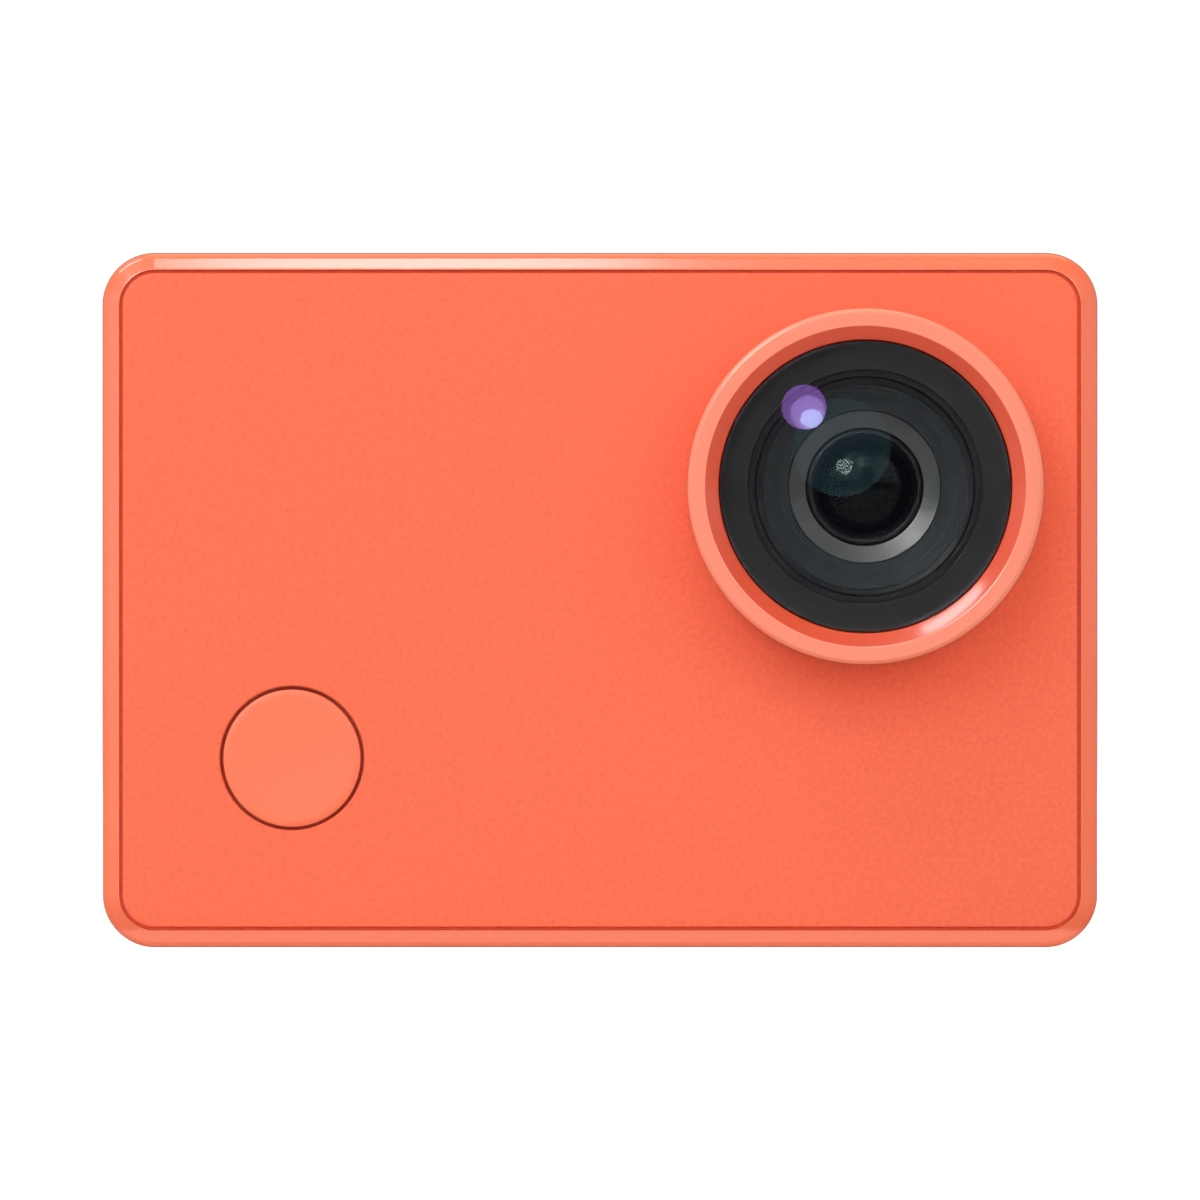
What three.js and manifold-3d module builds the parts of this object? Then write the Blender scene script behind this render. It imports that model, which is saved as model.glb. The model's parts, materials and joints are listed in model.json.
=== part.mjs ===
// A compact action camera: a rounded case with a raised lens ring, a round power button on its front,
// a shutter button on top, two menu keys on its left side, sockets and a card slot on its right side,
// a screen on its back, and a hinged battery door and a tripod insert underneath.
// Millimetres, +Z up, the lens looks along -Y. The origin is under the middle of the bounding box.
import * as THREE from "three";
import { mergeVertices } from "three/addons/utils/BufferGeometryUtils.js";
import Module from "manifold-3d";

const wasm = await Module();
wasm.setup();

// ---------------------------------------------------------------- driving dimensions

const WIDTH = 59.2;
const HEIGHT = 41.3;
const BODY_DEPTH = 22;
const LENS_REACH = 6.5; // how far the lens ring stands out of the front
const CORNER = 3.1; // radius of the case's corners, seen from the front
const WALL = 1.4;
const RIM = 1.02; // width of the frame's edge round the front panel
const BEVEL = 0.9; // width of the bevel round the front and the back, most of the rim
const SEAM = 0.19; // visible gap round the front panel and the buttons
const GAP = 0.1; // clearance between neighbours that only touch
const TRAVEL = 0.4; // how far each button goes in
const LENS = { x: 15.72, z: 27.38 };
const POWER = { x: -18.32, z: 11.24, radius: 4.09 };
const MIDDLE_Z = HEIGHT / 2;

// Depths, from the lens ring's rim at the front to the screen at the back.
const TIP = -(BODY_DEPTH + LENS_REACH) / 2;
const FRONT = TIP + LENS_REACH;
const BACK = FRONT + BODY_DEPTH;
const PANEL_BACK = FRONT + 1.2;
const LEDGE_BACK = PANEL_BACK + 0.85;
const FRAME_BACK = BACK - 2.1;
const COVER_FRONT = FRAME_BACK + GAP;
const PLATE_FRONT = FRONT + 14.75; // the chassis plate, which is the battery bay's back wall
const PLATE_BACK = PLATE_FRONT + 0.8;
const BOARD_FRONT = PLATE_BACK + 0.8;
const BOARD_BACK = BOARD_FRONT + 1;
const KEY_Y = FRONT + 10.25; // the keys, the shutter button and the microphone stand in this plane

const BATTERY = { x0: -23.4, x1: 5.2, y0: FRONT + 4.75, y1: FRONT + 14.55, z0: 2.6, z1: 34.6 };
const BAY_WALL = 0.7;
const BAY = {
  x0: BATTERY.x0 - GAP - BAY_WALL,
  x1: BATTERY.x1 + GAP + BAY_WALL,
  y0: BATTERY.y0 - GAP - BAY_WALL,
  z0: 2.7,
  z1: 36.4,
};
const DOOR = { hinge: -25.6, pinZ: 1.35, barrel: 1.25, x1: 6.6, y0: FRONT + 3.3, y1: FRONT + 16, thick: 1.3 };
const PIN = { radius: 0.4, lugHole: 0.44, doorHole: 0.47 };
const BOSS = { radius: 1.9, hole: 0.75, back: PLATE_FRONT - GAP };
const BOSSES = [
  [-26.4, 6.6],
  [-26.4, 38.1],
  [26.4, 38.1],
  [26.4, 3.2],
];
const BOARD_FIXINGS = [
  [-19, 7.5],
  [-19, 33],
  [2.5, 20],
];
const SENSOR_FIXINGS = [
  [LENS.x - 7.1, LENS.z + 7.1],
  [LENS.x + 7.1, LENS.z - 7.1],
];
const INSERT = { x: 12.6, y: FRONT + 10.25, radius: 5, bore: 3.175, height: 6.5 };
const SHUTTER = { x: -14, radius: 4 };
const MICROPHONE_X = 2;
const LIGHT_X = -6;
const KEYS = { up: 26.4, down: 17.4, length: 6.6, width: 2.6 };
const SPEAKER = { y: FRONT + 7.9, z: 12.6, radius: 5.4 };
const SOCKETS = {
  usb: { z: 9.9, length: 7.5, height: 2.6, depth: 5 },
  hdmi: { z: 17.8, length: 6.5, height: 2.6, depth: 6 },
  card: { z: 28.7, length: 14, height: 1.75, depth: 15.9 },
};
const SOCKET_FACE = WIDTH / 2 - 0.3; // the sockets' mouths lie just inside the side wall
const CARD = {
  x0: SOCKET_FACE - 15,
  x1: SOCKET_FACE,
  y0: BOARD_FRONT - 1.35,
  y1: BOARD_FRONT - 0.6,
  z0: SOCKETS.card.z - 5.5,
  z1: SOCKETS.card.z + 5.5,
};
const GLASS = { width: 53.4, height: 36, corner: 1.6, front: BACK - 1.15 };
const SCREEN = { width: 45.2, height: 33.6 };

// ---------------------------------------------------------------- helpers

function solidOf(geometry) {
  const bare = geometry.clone();
  bare.deleteAttribute("normal");
  bare.deleteAttribute("uv");
  const merged = mergeVertices(bare, 1e-4);
  const vertProperties = new Float32Array(merged.attributes.position.array);
  const triVerts = new Uint32Array(merged.index.array);
  return new wasm.Manifold(new wasm.Mesh({ numProp: 3, vertProperties, triVerts }));
}

function geometryOf(solid) {
  const mesh = solid.getMesh();
  const points = new Float32Array(mesh.numVert * 3);
  for (let i = 0; i < mesh.numVert; i++) {
    points.set(mesh.vertProperties.subarray(i * mesh.numProp, i * mesh.numProp + 3), i * 3);
  }
  const geometry = new THREE.BufferGeometry();
  geometry.setAttribute("position", new THREE.BufferAttribute(points, 3));
  geometry.setIndex(new THREE.BufferAttribute(new Uint32Array(mesh.triVerts), 1));
  geometry.computeVertexNormals();
  return geometry;
}

function cut(base, ...tools) {
  return geometryOf(tools.reduce((left, tool) => left.subtract(solidOf(tool)), solidOf(base)));
}

function join(...pieces) {
  return geometryOf(pieces.slice(1).reduce((whole, piece) => whole.add(solidOf(piece)), solidOf(pieces[0])));
}

function overlapOf(a, b) {
  return geometryOf(solidOf(a).intersect(solidOf(b)));
}

// A box between two corners.
function block(x0, x1, y0, y1, z0, z1) {
  return new THREE.BoxGeometry(x1 - x0, y1 - y0, z1 - z0).translate((x0 + x1) / 2, (y0 + y1) / 2, (z0 + z1) / 2);
}

function roundedRect(width, height, radius) {
  const w = width / 2;
  const h = height / 2;
  const shape = new THREE.Shape();
  shape.absarc(w - radius, h - radius, radius, 0, Math.PI / 2);
  shape.absarc(-w + radius, h - radius, radius, Math.PI / 2, Math.PI);
  shape.absarc(-w + radius, -h + radius, radius, Math.PI, 1.5 * Math.PI);
  shape.absarc(w - radius, -h + radius, radius, 1.5 * Math.PI, 2 * Math.PI);
  shape.closePath();
  return shape;
}

// A rounded plate that faces the front, from one depth to another, its middle at x, z.
function plate(width, height, radius, y0, y1, x = 0, z = MIDDLE_Z, curveSegments = 3) {
  return new THREE.ExtrudeGeometry(roundedRect(width, height, radius), {
    depth: y1 - y0,
    bevelEnabled: false,
    curveSegments,
  })
    .rotateX(Math.PI / 2)
    .translate(x, y1, z);
}

// A ring or disc turned about a line along Y. Its profile holds [radius, depth] points, in either direction.
// A disc's profile starts and ends on the axis.
function turned(profile, segments, x, z) {
  const onAxis = profile[0][0] === 0;
  const closed = onAxis ? profile : [...profile, profile[0]];
  let area = 0;
  closed.forEach(([r, y], i) => {
    const [nextR, nextY] = closed[(i + 1) % closed.length];
    area += r * nextY - nextR * y;
  });
  const ordered = area > 0 ? closed : [...closed].reverse();
  const points = ordered.map(([r, y]) => new THREE.Vector2(r, y));
  return new THREE.LatheGeometry(points, segments).translate(x, 0, z);
}

const onLens = (profile, segments) => turned(profile, segments, LENS.x, LENS.z);

// A rod along X, Y or Z, from one place on that axis to another; a and b are its place on the other two.
function rod(axis, radius, from, to, a, b, segments = 24) {
  const geometry = new THREE.CylinderGeometry(radius, radius, to - from, segments);
  const middle = (from + to) / 2;
  if (axis === "x") return geometry.rotateZ(Math.PI / 2).translate(middle, a, b);
  if (axis === "y") return geometry.translate(a, middle, b);
  return geometry.rotateX(Math.PI / 2).translate(a, b, middle);
}

// The points of a lens surface from its middle out to its rim, sagging towards the back.
function domePoints(radius, crown, rim, steps) {
  return Array.from({ length: steps + 1 }, (_, i) => {
    const r = (radius * i) / steps;
    return [r, crown + (rim - crown) * (r / radius) ** 2];
  });
}

const object = new THREE.Group();

const finishes = {
  shell: new THREE.MeshStandardMaterial({ color: 0xf9714f, roughness: 0.55, metalness: 0 }),
  bezel: new THREE.MeshStandardMaterial({ color: 0xff8560, roughness: 0.3, metalness: 0 }),
  black: new THREE.MeshStandardMaterial({ color: 0x1c1d1f, roughness: 0.5, metalness: 0 }),
  dark: new THREE.MeshStandardMaterial({ color: 0x2d2d2d, roughness: 0.8, metalness: 0 }),
  rubber: new THREE.MeshStandardMaterial({ color: 0x202020, roughness: 0.9, metalness: 0 }),
  glass: new THREE.MeshStandardMaterial({ color: 0x9fb4b8, roughness: 0.05, metalness: 0 }),
  steel: new THREE.MeshStandardMaterial({ color: 0xb9bcc0, roughness: 0.35, metalness: 1 }),
  brass: new THREE.MeshStandardMaterial({ color: 0xc6a35a, roughness: 0.35, metalness: 1 }),
  aluminium: new THREE.MeshStandardMaterial({ color: 0xc4c7cb, roughness: 0.45, metalness: 1 }),
  board: new THREE.MeshStandardMaterial({ color: 0x12402c, roughness: 0.5, metalness: 0 }),
  flex: new THREE.MeshStandardMaterial({ color: 0xb5702a, roughness: 0.5, metalness: 0 }),
  wrap: new THREE.MeshStandardMaterial({ color: 0x2a3038, roughness: 0.4, metalness: 0 }),
};

function add(name, geometry, finish) {
  const mesh = new THREE.Mesh(geometry, finishes[finish]);
  mesh.name = name;
  object.add(mesh);
}

// ---------------------------------------------------------------- case

// The outer form of the whole case, bevelled round the front and the back.
function caseForm() {
  const bevelThickness = 0.62;
  return new THREE.ExtrudeGeometry(roundedRect(WIDTH - 2 * BEVEL, HEIGHT - 2 * BEVEL, CORNER - BEVEL), {
    depth: BODY_DEPTH - 2 * bevelThickness,
    bevelThickness,
    bevelSize: BEVEL,
    bevelSegments: 2,
    curveSegments: 3,
  })
    .rotateX(Math.PI / 2)
    .translate(0, BACK - bevelThickness, MIDDLE_Z);
}

// The case's outline, set in from the outside by an inset.
function inside(inset, y0, y1) {
  return plate(WIDTH - 2 * inset, HEIGHT - 2 * inset, CORNER - Math.min(inset, CORNER - 0.8), y0, y1);
}

// A rounded bar along X whose section is as long as it says along Z and as wide as it says along Y.
function barAcross(x0, x1, y, z, length, width, radius = width / 2 - 0.01) {
  return new THREE.ExtrudeGeometry(roundedRect(width, length, radius), {
    depth: x1 - x0,
    bevelEnabled: false,
    curveSegments: 3,
  })
    .rotateX(Math.PI / 2)
    .rotateZ(Math.PI / 2)
    .translate(x0, y, z);
}

function housingFrame() {
  const half = overlapOf(caseForm(), block(-WIDTH, WIDTH, FRONT - 1, FRAME_BACK, -1, HEIGHT + 1));
  const shell = cut(
    half,
    inside(RIM, FRONT - 1, PANEL_BACK + GAP / 2),
    inside(2 * WALL, PANEL_BACK, LEDGE_BACK + GAP),
    inside(WALL, LEDGE_BACK, FRAME_BACK + 1),
  );
  const lugs = [
    [DOOR.y0 - 1.9, DOOR.y0 - 0.2],
    [DOOR.y1 + 0.2, DOOR.y1 + 1.7],
  ].map(([y0, y1]) => block(DOOR.hinge - 2.1, DOOR.hinge + 1.7, y0, y1, 0.7, 2.9));
  const posts = BOSSES.map(([x, z]) => rod("y", BOSS.radius, LEDGE_BACK - 0.2, BOSS.back, x, z, 20));
  const body = join(shell, ...lugs, ...posts);
  const screwHoles = BOSSES.map(([x, z]) => rod("y", BOSS.hole, BOSS.back - 5.2, BOSS.back + 1, x, z, 12));
  const grille = [[0, 0]];
  for (let i = 0; i < 6; i++) {
    grille.push([2.2 * Math.cos((i * Math.PI) / 3), 2.2 * Math.sin((i * Math.PI) / 3)]);
  }
  const grilleHoles = grille.map(([y, z]) =>
    rod("x", 0.55, WIDTH / 2 - 2, WIDTH / 2 + 1, SPEAKER.y + y, SPEAKER.z + z, 10),
  );
  const wallOf = (side) => [side * (WIDTH / 2) - 2, side * (WIDTH / 2) + 2];
  const keyHoles = [KEYS.up, KEYS.down].map((z) =>
    barAcross(...wallOf(-1), KEY_Y, z, KEYS.length + 2 * SEAM, KEYS.width + 2 * SEAM),
  );
  const portHoles = [SOCKETS.usb, SOCKETS.hdmi].map(({ z, length, height }) =>
    barAcross(...wallOf(1), BOARD_FRONT - 0.05 - height / 2, z, length + 0.3, height + 0.3, 0.3),
  );
  const cardHole = barAcross(...wallOf(1), (CARD.y0 + CARD.y1) / 2, SOCKETS.card.z, 12.2, 1.7, 0.4);
  return cut(
    body,
    ...screwHoles,
    ...grilleHoles,
    ...keyHoles,
    ...portHoles,
    cardHole,
    block(DOOR.hinge - DOOR.barrel - 0.2, DOOR.x1 + 0.15, DOOR.y0 - 0.15, DOOR.y1 + 0.15, -1, 2.95),
    rod("y", PIN.lugHole, DOOR.y0 - 1.6, DOOR.y1 + 1.4, DOOR.hinge, DOOR.pinZ, 16),
    rod("z", INSERT.radius + 0.05, -1, WALL + 1, INSERT.x, INSERT.y, 32),
    rod("z", SHUTTER.radius + SEAM, HEIGHT - 2, HEIGHT + 1, SHUTTER.x, KEY_Y, 40),
    rod("z", 0.4, HEIGHT - 2, HEIGHT + 1, MICROPHONE_X, KEY_Y, 10),
    rod("z", 0.7, HEIGHT - 2, HEIGHT + 1, LIGHT_X, KEY_Y, 12),
  );
}

function frontPanel() {
  const inset = RIM + SEAM;
  return cut(
    plate(WIDTH - 2 * inset, HEIGHT - 2 * inset, CORNER - inset, FRONT, PANEL_BACK),
    rod("y", 9.95, FRONT - 1, PANEL_BACK + 1, LENS.x, LENS.z, 48),
    rod("y", POWER.radius + SEAM, FRONT - 1, PANEL_BACK + 1, POWER.x, POWER.z, 40),
  );
}

function rearCover() {
  const rim = overlapOf(caseForm(), block(-WIDTH, WIDTH, COVER_FRONT, BACK + 1, -1, HEIGHT + 1));
  const skirt = cut(
    inside(WALL + 0.15, COVER_FRONT - 1.6, COVER_FRONT + 0.3),
    inside(WALL + 1.05, COVER_FRONT - 2, COVER_FRONT + 0.4),
  );
  return cut(
    join(rim, skirt),
    plate(GLASS.width + 0.3, GLASS.height + 0.3, GLASS.corner + 0.15, GLASS.front - GAP, BACK + 1),
    block(
      -SCREEN.width / 2 - 0.3,
      SCREEN.width / 2 + 0.3,
      COVER_FRONT - 1,
      BACK,
      MIDDLE_Z - SCREEN.height / 2 - 0.3,
      MIDDLE_Z + SCREEN.height / 2 + 0.3,
    ),
  );
}

// The battery bay, with the plate behind it that carries the boards and ties the four posts together.
function chassis() {
  const bay = block(BAY.x0, BAY.x1, BAY.y0, PLATE_BACK, BAY.z0, BAY.z1);
  const bars = [
    [-27.6, 27.6, 36.2, 38.6],
    [-27.6, -24.4, 38.5, 39.5],
    [24.4, 27.6, 38.5, 39.5],
    [-27.6, BAY.x0 + 1, 4.8, 8.4],
    [BAY.x1 - 1, 23.2, 6.8, 9],
    [19.8, 23.2, 2, 9],
    [19.8, 27.6, 2, 5.8],
  ].map(([x0, x1, z0, z1]) => block(x0, x1, PLATE_FRONT, PLATE_BACK, z0, z1));
  const standoffs = BOARD_FIXINGS.map(([x, z]) => rod("y", 1.5, PLATE_FRONT + 0.1, BOARD_FRONT - 0.05, x, z, 16));
  const screwHoles = BOSSES.map(([x, z]) => rod("y", 0.85, PLATE_FRONT - 1, PLATE_BACK + 1, x, z, 12));
  const boardHoles = BOARD_FIXINGS.map(([x, z]) => rod("y", 0.6, PLATE_FRONT + 0.3, BOARD_FRONT + 1, x, z, 12));
  return cut(
    join(bay, ...bars, ...standoffs),
    block(BATTERY.x0 - GAP, BATTERY.x1 + GAP, BATTERY.y0 - GAP, BATTERY.y1 + GAP, BAY.z0 - 1, BATTERY.z1 + 1.1),
    block(BATTERY.x0 + 2, BATTERY.x0 + 12.4, BATTERY.y0 + 2.6, BATTERY.y0 + 7.2, BATTERY.z1, BAY.z1 + 1),
    ...screwHoles,
    ...boardHoles,
  );
}

function addCase() {
  add("housing_frame", housingFrame(), "bezel");
  add("front_panel", frontPanel(), "shell");
  add("rear_cover", rearCover(), "shell");
  add("chassis", chassis(), "black");
}

// ---------------------------------------------------------------- lens

const WINDOW = { radius: 8.6, front: TIP + 0.95, thick: 1 };
const MASK_FRONT = WINDOW.front + WINDOW.thick + 0.05;
const SEAL_FRONT = MASK_FRONT + 0.25;
const SEAT = SEAL_FRONT + 0.45;
const BARREL = { front: SEAT - 0.3, radius: 6.95, thread: 5.9, bore: 3.3, neck: TIP + 9.65, back: TIP + 16.65 };
const ELEMENT_PLANE = TIP + 7.05; // the rim of the front element
const SENSOR_PLANE = TIP + 18.75; // the front of the sensor board

function lensRing() {
  return onLens(
    [
      [9.52, TIP],
      [10.38, TIP],
      [10.54, TIP + 0.16],
      [10.54, FRONT - GAP],
      [9.8, FRONT - GAP],
      [9.8, FRONT + 2.4],
      [7.2, FRONT + 2.4],
      [7.2, SEAT],
      [8.7, SEAT],
      [8.7, TIP + 0.68],
    ],
    48,
  );
}

function lensBarrel() {
  return onLens(
    [
      [6.6, BARREL.front],
      [BARREL.radius, BARREL.front],
      [BARREL.radius, BARREL.neck],
      [BARREL.thread, BARREL.neck],
      [BARREL.thread, BARREL.back],
      [BARREL.bore, BARREL.back],
      [BARREL.bore, TIP + 9.3],
      [2.6, TIP + 9.3],
      [2.6, TIP + 8.65],
      [3.5, TIP + 8.65],
      [3.5, TIP + 6.15],
      [4.49, TIP + 5.45],
      [4.7, TIP + 5.45],
      [5.9, TIP + 3.5],
      [6.4, TIP + 3.5],
    ],
    40,
  );
}

function lensElement(radius, crown, rim, back, steps) {
  return onLens([...domePoints(radius, crown, rim, steps), [radius, back], [0, back]], 32);
}

function retainingRing() {
  return onLens(
    [
      [3.2, TIP + 6.2],
      [3.42, TIP + 6.2],
      [3.42, ELEMENT_PLANE - 0.05],
      [2.85, ELEMENT_PLANE - 0.05],
      [2.85, TIP + 6.65],
    ],
    32,
  );
}

function lensMount() {
  const side = 17.2;
  const bush = rod("y", 7.5, TIP + 10.2, TIP + 14, LENS.x, LENS.z, 32);
  const base = plate(side, side, 1.2, TIP + 13.6, SENSOR_PLANE - GAP, LENS.x, LENS.z, 2);
  const fixings = SENSOR_FIXINGS.map(([x, z]) => rod("y", 0.6, SENSOR_PLANE - 2.4, SENSOR_PLANE + 1, x, z, 12));
  return cut(
    join(bush, base),
    rod("y", 6.05, TIP + 9, TIP + 17.2, LENS.x, LENS.z, 32),
    plate(12.4, 12.4, 0.5, TIP + 17.1, SENSOR_PLANE + 1, LENS.x, LENS.z, 1),
    ...fixings,
  );
}

function sensorBoard() {
  const holes = SENSOR_FIXINGS.map(([x, z]) => rod("y", 0.75, SENSOR_PLANE - 1, SENSOR_PLANE + 2, x, z, 12));
  return cut(plate(17.2, 17.2, 1, SENSOR_PLANE, SENSOR_PLANE + 0.8, LENS.x, LENS.z, 1), ...holes);
}

// A flat ribbon cable whose centre line is a list of [y, z] points; it is as wide as it says along X.
function ribbon(points, thick, width, x) {
  const outline = new THREE.Shape();
  const edge = (side) =>
    points.map(([y, z], i) => {
      const [y0, z0] = points[Math.max(0, i - 1)];
      const [y1, z1] = points[Math.min(points.length - 1, i + 1)];
      const length = Math.hypot(y1 - y0, z1 - z0);
      return new THREE.Vector2(
        y - (side * thick * (z1 - z0)) / (2 * length),
        z + (side * thick * (y1 - y0)) / (2 * length),
      );
    });
  outline.setFromPoints([...edge(1), ...edge(-1).reverse()]);
  return new THREE.ExtrudeGeometry(outline, { depth: width, bevelEnabled: false })
    .rotateX(Math.PI / 2)
    .rotateZ(Math.PI / 2)
    .translate(x - width / 2, 0, 0);
}

// A ribbon that leaves one face, turns round a half circle and comes back to another face.
function foldedRibbon(y0, y1, z, reach, width, x) {
  const radius = (y1 - y0) / 2;
  const bend = Array.from({ length: 7 }, (_, i) => {
    const angle = (i * Math.PI) / 6;
    return [y0 + radius - radius * Math.cos(angle), z - reach - radius * Math.sin(angle)];
  });
  return ribbon([[y0, z], ...bend, [y1, z]], 0.2, width, x);
}

// A pan-head screw along Y with its head towards the back.
function screw(x, z, headFront, shankLength, shankRadius = 0.5, headRadius = 1.25, headHeight = 0.55) {
  return turned(
    [
      [0, headFront - shankLength],
      [shankRadius, headFront - shankLength],
      [shankRadius, headFront],
      [headRadius, headFront],
      [headRadius, headFront + headHeight * 0.6],
      [headRadius * 0.7, headFront + headHeight],
      [0, headFront + headHeight],
    ],
    12,
    x,
    z,
  );
}

function ringProfile(inner, outer, y0, y1) {
  return [
    [inner, y0],
    [outer, y0],
    [outer, y1],
    [inner, y1],
  ];
}

function addLens() {
  add("lens_ring", lensRing(), "bezel");
  add("lens_window", rod("y", WINDOW.radius, WINDOW.front, WINDOW.front + WINDOW.thick, LENS.x, LENS.z, 48), "glass");
  add("window_mask", onLens(ringProfile(6.93, 8.6, MASK_FRONT, MASK_FRONT + 0.2), 48), "dark");
  add("window_seal", onLens(ringProfile(7.4, 8.4, SEAL_FRONT, SEAL_FRONT + 0.4), 40), "rubber");
  add("lens_barrel", lensBarrel(), "black");
  add("lens_retaining_ring", retainingRing(), "black");
  add("front_element", lensElement(2.8, TIP + 6.3, ELEMENT_PLANE, TIP + 8.55, 5), "glass");
  add("middle_element", lensElement(3.2, TIP + 9.45, TIP + 10.3, TIP + 11.8, 4), "glass");
  add("aperture_stop", onLens(ringProfile(0.75, 3.2, TIP + 12.05, TIP + 12.35), 32), "black");
  add("rear_element", lensElement(3.2, TIP + 12.6, TIP + 13.4, TIP + 15.1, 4), "glass");
  add("lens_mount", lensMount(), "black");
  add("ir_filter", block(LENS.x - 5.5, LENS.x + 5.5, TIP + 17.2, TIP + 17.5, LENS.z - 5.5, LENS.z + 5.5), "glass");
  add(
    "image_sensor",
    block(LENS.x - 5, LENS.x + 5, TIP + 17.7, SENSOR_PLANE - 0.05, LENS.z - 4.2, LENS.z + 4.2),
    "black",
  );
  add("sensor_board", sensorBoard(), "board");
  SENSOR_FIXINGS.forEach(([x, z], i) => add(`sensor_screw_${i + 1}`, screw(x, z, SENSOR_PLANE + 0.85, 2.6), "steel"));
  add(
    "sensor_flex",
    foldedRibbon(SENSOR_PLANE + 0.95, BOARD_FRONT - 0.15, LENS.z - 6, 5.5, 6, LENS.x - 3.2),
    "flex",
  );
}

// ---------------------------------------------------------------- buttons and keys

// A tactile switch: a square body with a round plunger, its plunger pointing along -Y from its board.
function switchAlongY(x, z, boardFace) {
  const body = block(x - 2.25, x + 2.25, boardFace - 0.3, boardFace - 0.05, z - 2.25, z + 2.25);
  return join(body, rod("y", 0.95, boardFace - 0.55, boardFace - 0.2, x, z, 16));
}

function powerButton() {
  const dish = 0.12;
  return turned(
    [
      [0, FRONT + dish],
      [POWER.radius - 0.5, FRONT],
      [POWER.radius - 0.12, FRONT],
      [POWER.radius, FRONT + 0.12],
      [POWER.radius, PANEL_BACK + 0.15],
      [POWER.radius + 0.7, PANEL_BACK + 0.15],
      [POWER.radius + 0.7, PANEL_BACK + 0.55],
      [1, PANEL_BACK + 0.55],
      [1, PANEL_BACK + 0.8],
      [0, PANEL_BACK + 0.8],
    ],
    40,
    POWER.x,
    POWER.z,
  );
}

function shutterButton() {
  const wallInside = HEIGHT - WALL;
  const profile = [
    [0, HEIGHT - 0.1],
    [SHUTTER.radius - 0.5, HEIGHT],
    [SHUTTER.radius - 0.12, HEIGHT],
    [SHUTTER.radius, HEIGHT - 0.12],
    [SHUTTER.radius, wallInside - 0.15],
    [SHUTTER.radius + 0.7, wallInside - 0.15],
    [SHUTTER.radius + 0.7, wallInside - 0.6],
    [1, wallInside - 0.6],
    [1, wallInside - 1.2],
    [0, wallInside - 1.2],
  ];
  return turned(profile, 40, 0, 0).rotateX(Math.PI / 2).translate(SHUTTER.x, KEY_Y, 0);
}

function sideKey(z) {
  const face = -WIDTH / 2;
  return join(
    barAcross(face, face + WALL + 0.3, KEY_Y, z, KEYS.length, KEYS.width),
    barAcross(face + WALL + 0.15, face + WALL + 0.65, KEY_Y, z, KEYS.length + 1.2, KEYS.width + 1.2),
    rod("x", 0.9, face + WALL + 0.4, face + WALL + 1.15, KEY_Y, z, 12),
  );
}

function addButtons() {
  const powerBoardFace = PANEL_BACK + 1.85;
  const x = POWER.x;
  const z = POWER.z;
  add("power_button", powerButton(), "shell");
  add("power_switch", switchAlongY(x, z, powerBoardFace), "steel");
  add("power_board", plate(11, 9, 0.8, powerBoardFace, powerBoardFace + 0.55, x, z, 1), "board");

  const switchTop = HEIGHT - WALL - 1.2 - TRAVEL - 0.05;
  const boardTop = switchTop - 0.55;
  add("shutter_button", shutterButton(), "shell");
  add(
    "shutter_switch",
    join(
      block(SHUTTER.x - 2.25, SHUTTER.x + 2.25, KEY_Y - 2.25, KEY_Y + 2.25, boardTop + 0.05, boardTop + 0.3),
      rod("z", 0.95, boardTop + 0.2, switchTop, SHUTTER.x, KEY_Y, 16),
    ),
    "steel",
  );
  add("shutter_board", block(SHUTTER.x - 6, SHUTTER.x + 6, KEY_Y - 4, KEY_Y + 4, boardTop - 0.6, boardTop), "board");

  const plungerTip = -WIDTH / 2 + WALL + 1.15 + TRAVEL + 0.05;
  const keyBoardFace = plungerTip + 0.55;
  for (const name of ["up", "down"]) {
    const keyZ = KEYS[name];
    add(`${name}_key`, sideKey(keyZ), "shell");
    add(
      `${name}_switch`,
      join(
        block(keyBoardFace - 0.3, keyBoardFace - 0.05, KEY_Y - 2, KEY_Y + 2, keyZ - 2, keyZ + 2),
        rod("x", 0.8, plungerTip, keyBoardFace - 0.2, KEY_Y, keyZ, 16),
      ),
      "steel",
    );
  }
  add("key_board", block(keyBoardFace, keyBoardFace + 0.6, KEY_Y - 3, KEY_Y + 3.4, 12.6, 31.2), "board");
}

// ---------------------------------------------------------------- electronics

function mainBoard() {
  const holes = BOARD_FIXINGS.map(([x, z]) => rod("y", 0.75, BOARD_FRONT - 1, BOARD_BACK + 1, x, z, 12));
  return cut(plate(54.6, 35.2, 1, BOARD_FRONT, BOARD_BACK, 0, 21.1, 1), ...holes);
}

// A socket's metal shell, open towards +X, with a contact tongue inside.
function socket({ z, length, height, depth }) {
  const y1 = BOARD_FRONT - 0.05;
  const y0 = y1 - height;
  const x0 = SOCKET_FACE - depth;
  const shell = cut(
    block(x0, SOCKET_FACE, y0, y1, z - length / 2, z + length / 2),
    block(x0 + 1, SOCKET_FACE + 1, y0 + 0.35, y1 - 0.35, z - length / 2 + 0.35, z + length / 2 - 0.35),
  );
  return join(shell, block(x0 + 0.9, SOCKET_FACE - 0.7, y0 + 1, y0 + 1.55, z - length / 2 + 1.4, z + length / 2 - 1.4));
}

function cardSlot() {
  const { z, length, height, depth } = SOCKETS.card;
  const y1 = BOARD_FRONT - 0.05;
  const x1 = WIDTH / 2 - WALL - GAP;
  return cut(
    block(x1 - depth, x1, y1 - height, y1, z - length / 2, z + length / 2),
    block(x1 - depth + 0.4, x1 + 1, CARD.y0 - GAP, CARD.y1 + GAP, CARD.z0 - GAP, CARD.z1 + GAP),
  );
}


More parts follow.
